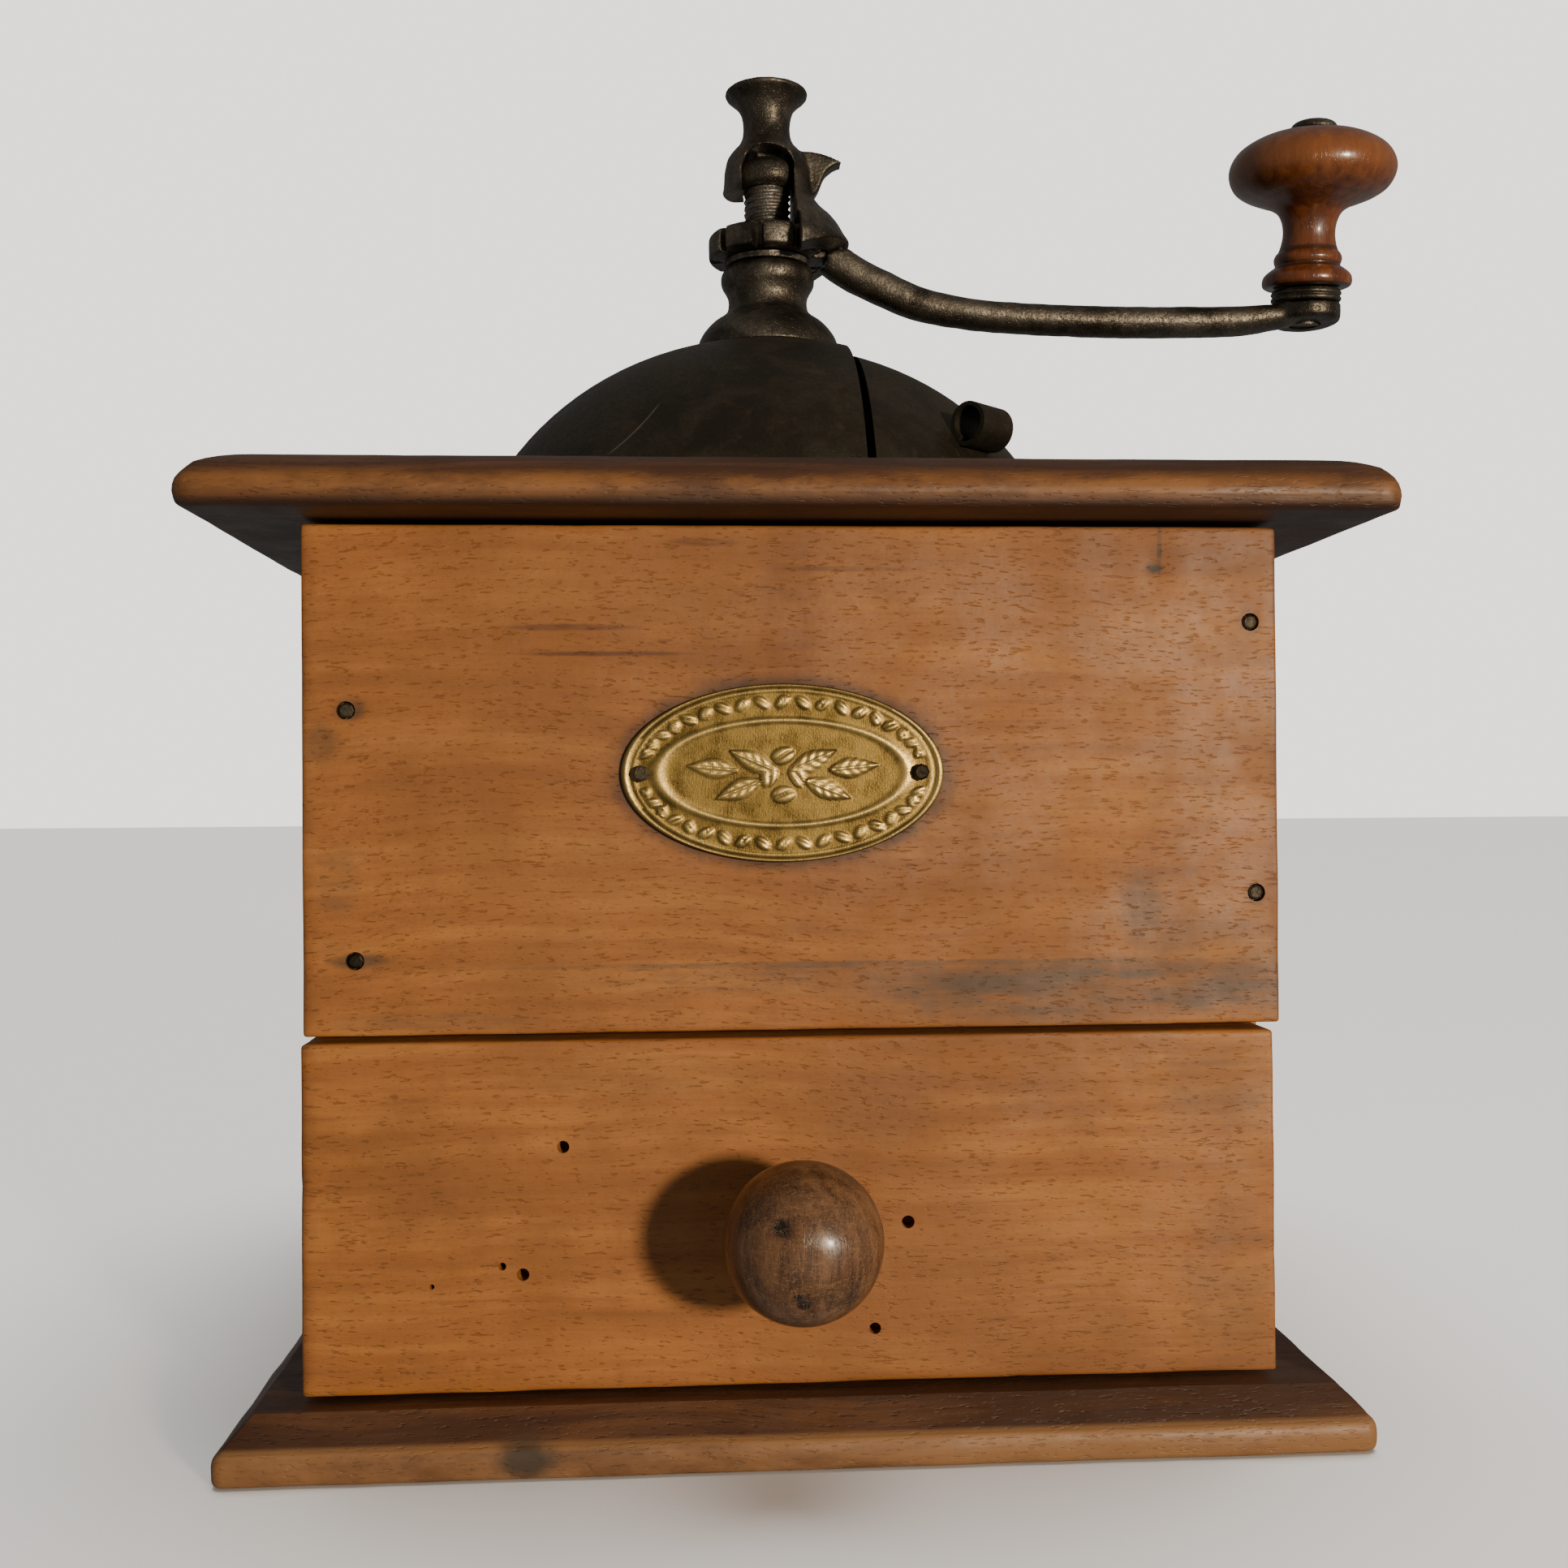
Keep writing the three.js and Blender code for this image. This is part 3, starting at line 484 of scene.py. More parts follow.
case_low, case_high = corners("front_panel")
board_low, board_high = corners("top_board")
base_low, base_high = corners("base_board")
plate_low, plate_high = corners("name_plate")
plate_middle = middle("name_plate")
drawer_low, drawer_high = corners("drawer_front")


# ---- Wood of the case ----
def plate_halo(g, colour):
    """A dark ring round the name plate, a faint warmer patch round it, and the case's upright edges
    darkened, partly painted shade of the gaps there and partly darker edge wood.
    """
    radii = ((plate_high.x - plate_low.x) / 2 + 1.0, (plate_high.z - plate_low.z) / 2 + 1.0)
    halo = g.spot((plate_middle.x, plate_middle.z), radii, 0.1, 0.16)
    colour = g.mix(g.times(halo, 0.95), colour, rgba(GRIME))
    warm = g.spot((plate_middle.x, plate_middle.z), (34, 24), 0.5, 0.3)
    colour = g.mix(g.times(warm, 0.25), colour, rgba(BURNT))
    return edge_shade_and_dark_wood(g, colour)


def edge_shade_and_dark_wood(g, colour):
    # Painted shade: the front darkens towards the case's upright edges, partly for the shade in the gaps at
    # the sides and partly as darker edge wood.
    reach = g.plus(g.math("ABSOLUTE", g.x), g.times(g.noise(0.3), 3))
    return g.mix(g.step(reach, 74, 77.5, 0, 0.55), colour, rgba(shade(CASE["dark"], 0.55)))


PANEL_MARKS = [
    ((48, 69), (34, 4.2), SOOT, 0.75),
    ((10, 71.5), (38, 2.0), SOOT, 0.5),
    ((64, 74), (12, 8), SOOT, 0.4),
    ((-55, 66), (14, 1.4), SOOT, 0.4),
    ((-1, 130), (4.5, 16), BURNT, 0.35),
    ((56, 86), (7, 8), BURNT, 0.35),
    ((53, 82), (3, 5), SOOT, 0.45),
    ((60, 138), (20, 5), BURNT, 0.3),
    ((55.7, 134.9), (1.3, 1.0), GRIME, 1.0),
    ((56.5, 137.5), (0.4, 4.0), GRIME, 0.8),
    ((-66.5, 75.2), (4.4, 1.1), GRIME, 0.8),
    ((-67.8, 113.2), (2.4, 1.6), GRIME, 0.7),
    ((70.8, 126.5), (1.9, 2.1), GRIME, 0.55),
    ((71.4, 84.1), (1.8, 1.6), GRIME, 0.6),
    ((-70, 87), (3, 5), SOOT, 0.35),
    ((-72, 108), (2.5, 3), GRIME, 0.5),
    ((-35, 125.5), (9, 0.5), BURNT, 0.8),
    ((-30, 121.5), (12, 0.35), BURNT, 0.8),
    ((8, 134.5), (9, 0.4), BURNT, 0.7),
    ((-14, 138.6), (5, 0.6), BURNT, 0.8),
    ((10, 73.8), (50, 0.5), SOOT, 0.6),
]
DRAWER_MARKS = [
    ((64, 54), (9, 6), SOOT, 0.4),
    ((20, 52), (26, 5), BURNT, 0.25),
    ((-60, 40), (10, 6), BURNT, 0.2),
    ((40, 16), (22, 4), BURNT, 0.2),
    ((66, 24), (6, 12), SOOT, 0.25),
    ((-22, 57), (20, 2.5), BURNT, 0.3),
]
panel_wood = wood("front panel wood", **CASE, marks=PANEL_MARKS, edge=plate_halo)
drawer_wood = wood("drawer front wood", **CASE, marks=DRAWER_MARKS, edge=edge_shade_and_dark_wood)
side_wood = wood("case wood", **CASE, grain=1)
back_wood = wood("back panel wood", **CASE)
inner_wood = wood("drawer box wood", **INNER, grain=1, rough=(0.7, 0.85), coat=0.0)
drawer_back_wood = wood("drawer back wood", **INNER, rough=(0.7, 0.85), coat=0.0)


def nose_wear_highlight_and_shade(g, colour):
    """The top board's nose is lighter in broken patches, partly rubbed wood and partly painted highlight,
    and its lowest edge is darkened with painted shade.
    """
    nose = board_low.z + 3.4
    band = g.minus(1, g.step(g.apart(g.z, nose), 0.4, 2.9))
    # Painted highlight, with some rubbed wood, in broken patches along the nose.
    patch = g.step(g.noise(0.09, 5, 0.7, g.stretch((0.35, 0.35, 1))), 0.36, 0.62, 0.15, 0.85)
    colour = g.mix(g.times(band, patch), colour, rgba((0.30, 0.125, 0.034)))
    # Painted shade along the board's lowest edge, under its nose.
    under = g.step(g.z, board_low.z + 0.1, board_low.z + 1.6, 0.55, 0)
    return g.mix(under, colour, rgba(shade(BOARD["dark"], 0.5)))


def worn_base_and_highlight(g, colour):
    """The base's upright edge is rubbed light, its upper corner has a painted highlight, and it has one dark
    stain.
    """
    band = g.step(g.z, base_low.z + 5.4, base_low.z + 4.2)
    patch = g.step(g.noise(0.07, 5, 0.7, g.stretch((0.4, 0.4, 1))), 0.3, 0.62, 0.25, 0.85)
    colour = g.mix(g.times(band, patch), colour, rgba((0.33, 0.155, 0.055)))
    # Painted highlight along the base's rounded upper corner.
    crest = g.minus(1, g.step(g.apart(g.z, 4.9), 0.1, 0.8))
    colour = g.mix(g.times(crest, 0.45), colour, rgba((0.42, 0.22, 0.085)))
    stain = g.spot((-41, -88, 3.2), (4.2, 6, 2.6), 0.5, 0.8)
    return g.mix(g.times(stain, 0.9), colour, rgba(GRIME))


top_wood = wood("top board wood", **BOARD, edge=nose_wear_highlight_and_shade, rings=0.7, rough=(0.45, 0.62), coat=0.1)
base_wood = wood("base board wood", **BOARD, edge=worn_base_and_highlight, rings=0.7, rough=(0.45, 0.65), coat=0.08)

iron = aged_metal("aged iron", (0.080, 0.068, 0.050), (0.034, 0.029, 0.020), (0.055, 0.026, 0.011))
worn_iron = aged_metal("rubbed iron", (0.165, 0.143, 0.112), (0.052, 0.044, 0.032), (0.06, 0.03, 0.013),
                       rough=(0.3, 0.52))
steel = aged_metal("tarnished steel", (0.26, 0.24, 0.21), (0.11, 0.098, 0.08), (0.09, 0.045, 0.02),
                   rough=(0.28, 0.5))
nail_iron = aged_metal("nail iron", (0.11, 0.09, 0.06), (0.03, 0.022, 0.014), (0.07, 0.03, 0.012),
                       rough=(0.5, 0.7))


def finish(obj, body, slot, material, *nodes):
    """Gives a piece its material and its body, and hides the CAD nodes that it stands for. The slot is not
    used.
    """
    obj.data.materials.clear()
    obj.data.materials.append(material)
    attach(obj, body)
    if nodes:
        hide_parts(*nodes)
    return obj


def cross_holes(prefix, count, radius, start, end, segments):
    """Cutters for holes along Y at the nails or pins with a name prefix, from one y to another."""
    places = [middle(f"{prefix}_{i}") for i in range(1, count + 1)]
    return [rod("hole", radius, (at.x, start, at.z), (at.x, end, at.z), segments) for at in places]


def upright_holes(prefix, radius, low, high, segments=24):
    """Cutters for upright holes at the four screws with a name prefix."""
    places = [middle(f"{prefix}_{i}") for i in range(1, 5)]
    return [rod("hole", radius, (at.x, at.y, low), (at.x, at.y, high), segments) for at in places]


front_dents = [
    (55.7, 134.9, 1.6, 0.7), (56.4, 137.4, 0.8, 0.35), (-63.9, 75.4, 2.2, 0.35), (-69.6, 75.6, 1.4, 0.3),
    (-66.8, 113.8, 1.8, 0.3), (70.8, 128.4, 1.2, 0.3), (44.5, 123.5, 0.7, 0.3), (-40.5, 80.0, 0.6, 0.2),
    (61, 96, 2.5, 0.2), (-72, 108, 2.0, 0.35),
]
NAIL_PIT = 1.4  # radius of the sunk hole over a nail
PIT_DEPTH = 1.6
front = case_low.y
panel_high = case_high - Vector((0, 0, 0.5))
front_panel = worn_box("front_panel_wood", case_low, panel_high, 0.55, 1.7, dents=front_dents)
front_pits = cross_holes("front_nail", 4, NAIL_PIT, front - 1, front + PIT_DEPTH, 20)
plate_pin_holes = cross_holes("plate_pin", 2, 1.0, front - 2, front + 8, 16)
carve(front_panel, *front_pits, *plate_pin_holes, sharp=50)
finish(front_panel, "case", "case_wood", panel_wood, "front_panel")

back_low, back_high = corners("back_panel")
back_panel = worn_box("back_panel_wood", back_low, back_high, 0.6, 4.0)
back_pits = cross_holes("back_nail", 4, NAIL_PIT, back_high.y + 1, back_high.y - PIT_DEPTH, 20)
carve(back_panel, *back_pits, sharp=50)
finish(back_panel, "case", "case_wood", back_wood, "back_panel")

for side in ("left", "right"):
    low, high = corners(f"side_panel_{side}")
    panel = worn_box(f"side_panel_{side}_wood", low, high, 0.6, 4.0)
    finish(panel, "case", "case_wood", side_wood, f"side_panel_{side}")

# ---- Moulded boards ----
base_half = (base_high.x, base_high.y)
base_profile = outline(
    [[1.6, 0], [0.35, 0.5], [0.05, 1.8], [0.1, 3.6], [0.5, 4.6], [1.0, 5.0]],
    [[1.0, 5.0], [3.0, 7.2], [5.0, base_high.z]],
    steps=4,
)
base_board = moulded_board("base_board_wood", base_half, base_profile, 2.2, 0.3)
carve(base_board, *upright_holes("base_screw", 3.8, -1, 3.2), sharp=40)
finish(base_board, "case", "board_wood", base_wood, "base_board")

board_half = (board_high.x, board_high.y)
nose_height = board_low.z + 2.3
board_rise = board_high.z - nose_height
ROUND_DEPTH = 15  # how far the board's rounded top edge reaches in
rounding = []
for t in range(1, 13):
    angle = t * math.pi / 24
    rounding.append([ROUND_DEPTH * (1 - math.cos(angle)), nose_height + board_rise * math.sin(angle)])
board_profile = outline([[2.0, board_low.z], [0.7, board_low.z + 0.5], [0.05, nose_height]]) + rounding
top_board = moulded_board("top_board_wood", board_half, board_profile, 3.6, 0.35)
carve(top_board, rod("board_hole", 50, (0, 0, board_low.z - 3), (0, 0, board_high.z + 3), 96), sharp=40)
finish(top_board, "case", "board_wood", top_wood, "top_board")


# ---- Name plate ----
def smooth_step(value, low, high):
    t = min(max((value - low) / (high - low), 0.0), 1.0)
    return t * t * (3 - 2 * t)


def bean(x, z, centre, angle, length, width):
    """Relief of a coffee bean: a rounded oval with a groove along it."""
    dx, dz = x - centre[0], z - centre[1]
    along = (dx * math.cos(angle) + dz * math.sin(angle)) / length
    across = (-dx * math.sin(angle) + dz * math.cos(angle)) / width
    inside = 1 - along**2 - across**2
    if inside <= 0:
        return 0.0
    groove = math.exp(-((across - 0.25 * math.sin(along * 2.2)) / 0.22) ** 2)
    return math.sqrt(inside) * (1 - 0.75 * groove)


def leaf(x, z, start, angle, length, width):
    """Relief of a pointed leaf with a midrib and slanting veins."""
    dx, dz = x - start[0], z - start[1]
    along = (dx * math.cos(angle) + dz * math.sin(angle)) / length
    across = -dx * math.sin(angle) + dz * math.cos(angle)
    if not 0 < along < 1:
        return 0.0
    half = width * math.sin(math.pi * along**0.8)
    if abs(across) >= half:
        return 0.0
    rim = 1 - abs(across) / half
    vein = 0.5 + 0.5 * math.cos((along * length - abs(across) * 0.9) * 4.2)
    return min(1.0, rim * 2.2) * (0.55 + 0.3 * vein) + 0.35 * math.exp(-(across / 0.22) ** 2)


LEAVES = (((1.2, 0.3), 0.42, 7.6), ((3.4, -1.2), -0.38, 7.4), ((7.2, 0.4), 0.1, 7.4))
BEANS = (((0, 2.6), 0.3), ((-2.1, -0.4), 1.25), ((2.1, -0.4), -1.25), ((0, -3.3), 0.1))
BORDER = (21.9, 10.85)  # half width and half height of the oval that the border's beans follow


def plate_relief(x, z, reach):
    """Height from 0 to 1 of the embossing. reach is 0 at the middle and 1 at the plate's edge."""
    height = 0.75 * smooth_step(reach, 0.955, 0.97) * (1 - smooth_step(reach, 0.985, 1.0))
    inner = math.hypot(x / 19.1, z / 8.05)
    height = max(height, 0.7 * math.exp(-(((inner - 1) * 12) / 0.55) ** 2))
    height = max(height, 0.35 * math.exp(-(((reach - 0.925) * 18) / 0.3) ** 2))
    angle = math.atan2(z / BORDER[1], x / BORDER[0])
    if 1.05 < inner and reach < 0.9:
        count = 44
        turn = round(angle / (2 * math.pi) * count)
        if turn % (count // 2) not in (0, 1, count // 2 - 1):
            spot = 2 * math.pi * turn / count
            centre = (BORDER[0] * math.cos(spot), BORDER[1] * math.sin(spot))
            way = math.atan2(BORDER[1] * math.cos(spot), -BORDER[0] * math.sin(spot))
            tilt = way + (0.75 if turn % 2 else -0.75)
            height = max(height, 0.9 * bean(x, z, centre, tilt, 1.28, 0.72))
    if inner < 0.95:
        for sign in (-1, 1):
            for start, tilt, size in LEAVES:
                way = tilt if sign > 0 else math.pi - tilt
                height = max(height, 0.85 * leaf(x, z, (sign * start[0], start[1]), way, size, 1.7))
        for centre, way in BEANS:
            height = max(height, bean(x, z, centre, way, 1.9, 1.25))
    return height


def plate_mesh():
    """The oval plate: an embossed front, a rolled edge and a flat back."""
    around, rings = 380, 62
    half_x, half_z = (plate_high.x - plate_low.x) / 2, (plate_high.z - plate_low.z) / 2
    front, back = plate_low.y, plate_high.y
    points, faces = [(plate_middle.x, front + 0.35, plate_middle.z)], []
    for ring in range(1, rings + 1):
        reach = ring / rings
        for i in range(around):
            angle = 2 * math.pi * i / around
            x, z = half_x * reach * math.cos(angle), half_z * reach * math.sin(angle)
            bend = 0.05 * noise.noise(Vector((x * 0.12, z * 0.12, 4.0)))
            lift = 0.38 * plate_relief(x, z, reach)
            points.append((plate_middle.x + x, front + 0.4 - lift + bend, plate_middle.z + z))
    for i in range(around):
        angle = 2 * math.pi * i / around
        x, z = half_x * math.cos(angle), half_z * math.sin(angle)
        points.append((plate_middle.x + x, back, plate_middle.z + z))
    for i in range(around):
        j = (i + 1) % around
        faces.append((0, 1 + i, 1 + j))
        for ring in range(rings):
            a, b = 1 + ring * around + i, 1 + ring * around + j
            faces.append((a, b, b + around, a + around))
    faces.append(tuple(range(1 + rings * around, 1 + (rings + 1) * around)))
    return build("name_plate_brass", points, faces, 50)


def plate_brass():
    """Brass that is bright on the raised work and brown in the hollows."""
    g = Graph("embossed brass")
    raised = g.step(g.y, plate_low.y + 0.42, plate_low.y + 0.1)
    cloud = g.noise(0.35, 5, 0.6)
    fine = g.noise(3.2, 4, 0.6)
    colour = g.mix(g.step(cloud, 0.35, 0.65), (0.13, 0.082, 0.021, 1), (0.25, 0.165, 0.046, 1))
    colour = g.mix(raised, colour, (0.62, 0.44, 0.15, 1))
    colour = g.mix(g.step(fine, 0.5, 0.75, 0, 0.5), colour, (0.12, 0.075, 0.025, 1))
    edge = g.spot((plate_middle.x, plate_middle.z), (23.6, 12.9), 0.06, 0.1)
    colour = g.mix(g.times(g.minus(1, edge), 0.45), colour, (0.16, 0.11, 0.035, 1))
    uneven = g.plus(g.times(cloud, 0.5), g.times(fine, 0.5))
    roughness = g.step(uneven, 0.35, 0.65, 0.3, 0.52)
    brushed = g.noise(1.5, 3, 0.6, g.stretch((6, 1, 0.25)))
    normal = g.bump(brushed, 0.05, 0.4, g.bump(fine, 0.08, 0.4))
    return g.finish(colour, roughness, 0.92, normal)


finish(plate_mesh(), "case", "brass", plate_brass(), "name_plate")


# ---- Hopper ----
def scratch(g, colour):
    """A fine scratch that curves down the left of the dome, part of a circle in the front view."""
    centre, radius = (-50, 0, 186), 33.75
    offset = g.node("ShaderNodeVectorMath", {0: g.place, 1: centre}, operation="SUBTRACT")
    flat = g.stretch((1, 0, 1), offset.outputs[0])
    reach = g.node("ShaderNodeVectorMath", {0: flat}, operation="LENGTH").outputs[1]
    line = g.step(g.apart(reach, radius), 0.05, 0.22, 1, 0)
    line = g.times(line, g.spot((-25.6, 163.2), (6, 6), 0.2))
    line = g.times(line, g.step(g.y, -8, -14, 0, 0.4))
    return g.mix(line, colour, (0.36, 0.31, 0.21, 1))


dome_iron = aged_metal("dome iron", (0.062, 0.050, 0.032), (0.036, 0.029, 0.018), (0.050, 0.028, 0.012),
                       metallic=0.7, rough=(0.42, 0.6), grain=0.1, lines=scratch)

DOME_CENTRE = 127.0  # height of the middle of the dome's sphere
CROWN_DROP = 1.2  # how much lower the crown is than the sphere
CROWN_REACH = 52.0  # the radius where the flatter crown begins
DOME_OUTER = 63.8
DOME_INNER = 62.8
DOOR_OUTER = 62.2
DOOR_INNER = 61.3
FLANGE_LOW = corners("hopper_dome")[0].z
FLANGE_RADIUS = corners("hopper_dome")[1].x


def dome_arc(sphere, low_radius, high_radius, steps=22):
    """The dome's curve between two distances from its axis."""
    start, end = math.asin(low_radius / sphere), math.asin(high_radius / sphere)
    angles = [start + (end - start) * i / steps for i in range(steps + 1)]
    arc = []
    for angle in angles:
        radius = sphere * math.sin(angle)
        flat = CROWN_DROP * max(0, 1 - (radius / CROWN_REACH) ** 2) ** 2
        arc.append([radius, DOME_CENTRE + sphere * math.cos(angle) - flat])
    return arc


def dome_radius(sphere, height):
    return math.sqrt(sphere**2 - (height - DOME_CENTRE) ** 2)


def hatch_outline(x, azimuth):
    """The region right of a straight edge at x, as far round as an azimuth in degrees."""
    slope = math.tan(math.radians(azimuth))
    return [(x, -90), (90, -90), (90, 90 * slope), (x, x * slope)]


flange_top = FLANGE_LOW + 1.0
dome_profile = [
    [dome_radius(DOME_INNER, FLANGE_LOW), FLANGE_LOW], [FLANGE_RADIUS - 0.3, FLANGE_LOW],
    [FLANGE_RADIUS, FLANGE_LOW + 0.4], [FLANGE_RADIUS - 0.2, flange_top], [60.5, flange_top],
    [59.0, flange_top + 0.3],
] + dome_arc(DOME_OUTER, 58.0, 8.5) + dome_arc(DOME_INNER, 8.5, 57.0)
dome = turned("hopper_dome_iron", dome_profile, segments=128, closed=True)
hatch = prism("hatch", hatch_outline(13.8, 28), 155.5, 200)
carve(hatch, rod("hatch_top", 17, (0, 0, 150), (0, 0, 210), 64))
carve(dome, hatch, *upright_holes("dome_screw", 1.45, 150, 156, 16))
finish(dome, "case", "iron", dome_iron, "hopper_dome")

door_low = corners("hopper_door")[0].z
door_profile = dome_arc(DOOR_OUTER, dome_radius(DOOR_OUTER, door_low), 9)
door_profile += dome_arc(DOOR_INNER, 9, dome_radius(DOOR_INNER, door_low))
door = turned("hopper_door_iron", door_profile, segments=128, closed=True)
door_sector = prism("sector", hatch_outline(15.6, 36), door_low - 1, 200)
combine(door_sector, rod("ring", 18, (0, 0, 180), (0, 0, 200), 64), "UNION")
combine(door, door_sector, "INTERSECT")
finish(door, "door", "iron", dome_iron, "hopper_door")


def curl_mesh():
    """The door's tongue: a strip of its plate that leaves the door and rolls outward into a tube."""
    azimuth, height, length, thick = math.radians(-47), 165.8, 9.0, 0.8
    reach = dome_radius(DOME_OUTER + 1.8, height)
    out = Vector((reach, 0, height - DOME_CENTRE)).normalized()
    down = Vector((out.z, 0, -out.x))
    centre = Vector((reach, 0, height))
    path = []
    for i in range(61):
        share = i / 60
        turn = math.radians(-100 + 390 * share)
        radius = 3.9 - 0.9 * share
        path.append(centre + out * (radius * math.sin(turn)) + down * (radius * math.cos(turn)))
    start = path[0]
    path = [start + down * 5 - out * 1.2, start + down * 2.4 - out * 0.5, *path]
    spin = Matrix.Rotation(azimuth, 3, "Z")
    points = []
    for i, place in enumerate(path):
        ahead, behind = path[min(i + 1, len(path) - 1)], path[max(i - 1, 0)]
        way = (ahead - behind).normalized()
        normal = Vector((-way.z, 0, way.x)) * thick / 2
        for offset, y in ((normal, -1), (normal, 1), (-normal, 1), (-normal, -1)):
            taper = 1 - 0.08 * i / len(path)
            points.append(spin @ (place + offset + Vector((0, y * length / 2 * taper, 0))))
    return build("hopper_door_curl", points, skin(len(path), 4))


finish(curl_mesh(), "door", "iron", dome_iron)

column_low, column_high = corners("bearing_column")
column_profile = outline(
    [[5.1, column_low.z], [8.2, column_low.z]],
    [[8.2, 189.6], [14.0, 188.3]],
    [[14.0, 188.3], [14.35, 188.6], [14.2, 189.6]],
    [[14.2, 189.6], [13.7, 191.2], [12.7, 192.8], [11.2, 194.4], [9.5, 195.6], [8.3, 196.8], [7.9, 198.3],
     [8.0, 199.8], [8.5, 201.0]],
    [[8.5, 201.0], [9.2, 202.2], [9.4, 203.4], [9.25, 204.4], [8.7, 205.2], [7.9, column_high.z]],
    [[7.9, column_high.z], [5.1, column_high.z]],
)
column = turned("bearing_column_iron", column_profile, segments=72, closed=True)
finish(column, "case", "iron", worn_iron, "bearing_column")

# ---- Spindle, ring and nut ----
THREAD_PITCH = 1.35
SHOULDER = corners("cap_nut")[0].z - 0.3  # the thread ends under the nut
spindle_low, spindle_high = corners("spindle")


def threaded(radius, angle, height):
    """Turns the spindle's radius into a thread above the bearing."""
    if not column_high.z < height < SHOULDER - 0.2 or radius < 4:
        return radius
    t = (height / THREAD_PITCH - angle / (2 * math.pi)) % 1
    return radius - 0.55 * (1 - abs(2 * t - 1)) ** 0.8


THREAD_ROWS = 76
thread_step = (SHOULDER - column_high.z) / THREAD_ROWS
spindle_profile = [[0, spindle_low.z], [3.4, spindle_low.z], [4, spindle_low.z + 0.6], [4, 176], [4.7, 177]]
spindle_profile += [[4.72, column_high.z + thread_step * i] for i in range(THREAD_ROWS + 1)]
spindle_profile += [[4.2, SHOULDER], [4.2, SHOULDER + 6.1], [0, SHOULDER + 6.1]]
spindle = turned("spindle_steel", spindle_profile, segments=40, shape=threaded, sharp=80)
tang = worn_box("tang", (-2.2, -2.2, SHOULDER + 6), (2.2, 2.2, spindle_high.z), 0.3, 2.0, 0.0, 0.0)
joined(spindle, tang)
finish(spindle, "spindle", "steel", steel, "spindle")

ring_low, ring_high = corners("adjuster_ring")
RING_RADIUS = ring_high.y
FIRST_NOTCH = math.radians(-102)
NOTCHES = 9


def lobed(radius, angle, height):
    """Cuts rounded notches into the ring's rim."""
    if radius < 8:
        return radius
    step = 2 * math.pi / NOTCHES
    away = abs((angle - FIRST_NOTCH + step / 2) % step - step / 2) * RING_RADIUS
    return radius - 1.9 * (1 - smooth_step(away, 0.62, 1.15))


ring_profile = outline(
    [[5.1, ring_low.z], [10.9, ring_low.z]],
    [[10.9, ring_low.z], [11.6, ring_low.z + 0.25], [11.85, ring_low.z + 1.1], [11.85, ring_high.z - 1.3],
     [11.5, ring_high.z - 0.4], [10.6, ring_high.z]],
    [[10.6, ring_high.z], [5.1, ring_high.z]],
)
ring = turned("adjuster_ring_iron", ring_profile, segments=240, closed=True, shape=lobed)
finish(ring, "adjuster", "iron", worn_iron, "adjuster_ring")

nut_low, nut_high = corners("cap_nut")
nut_profile = outline(
    [[4.5, nut_low.z], [5.0, nut_low.z]],
    [[5.0, nut_low.z], [6.0, nut_low.z + 0.9], [6.33, nut_low.z + 2.4], [6.0, nut_low.z + 4.2],
     [4.9, nut_high.z]],
    [[4.9, nut_high.z], [4.5, nut_high.z]],
)
nut = turned("cap_nut_steel", nut_profile, segments=64, closed=True)
finish(nut, "spindle", "steel", worn_iron, "cap_nut")

# ---- Crank head ----
HEAD_TOP = corners("crank_head")[1].z
head_profile = outline(
    [[0, 203], [17.3, 203]],
    [[17.3, 203], [17.3, 208.9]],
    [[17.3, 208.9], [17, 209.8], [15.9, 211.6], [13.9, 214.8], [11.5, 217.2], [9.7, 219.5], [9, 221.3],
     [8.75, 222.8], [8.6, 225], [8.2, 227.1], [7.6, 228.4], [6.6, 229.6], [5.6, 230.8], [5, 232.2],
     [4.75, 234.2], [5.05, 236.6], [5.65, 238], [6.6, 239.2], [7.6, 240.05], [8.2, 240.5]],
    [[8.2, 240.5], [8.38, 240.9], [8.25, 241.4], [7.6, HEAD_TOP - 0.05]],
    [[7.6, HEAD_TOP - 0.05], [4, HEAD_TOP - 0.25], [0, HEAD_TOP - 0.3]],
)
head = turned("crank_head_iron", head_profile, segments=96)
cavity_top = corners("cap_nut")[1].z + 0.6
ring_room = corners("adjuster_ring")[1].z + 0.5
cavity_profile = [[0, 202], [12.3, 202], [12.3, ring_room], [5.5, ring_room], [5.5, SHOULDER - 0.9],
                  [6.65, SHOULDER - 0.3], [6.65, cavity_top], [0, cavity_top]]
head_cavity = turned("cavity", cavity_profile, segments=72)
archway = outline(
    [[-4.6, 200], [5, 200]],
    [[5, 200], [5, 225.2]],
    [[5, 225.2], [3.7, 227.4], [1, 228.5], [-2, 228.4], [-4.2, 226.9], [-5.3, 224.4]],
    steps=6,
)
spur_shape = outline(
    [[6.4, 229.3], [9.9, 229.1], [12.4, 228.4], [15.2, 227.2]],
    [[15.2, 227.2], [13.4, 226.4], [11.9, 225.1], [11, 223.3], [10.2, 221.4], [8, 218.5]],
    steps=5,
)
spur = prism("spur", spur_shape, -2.3, 2.3, "Y")
combine(head, spur, "UNION")


def joint_line(x, shift=0.0):
    """A point of the slanting joint between the head and the arm, [x, z] in the front view."""
    return (x, 208.75 + shift + 0.392 * (x - 12.7))


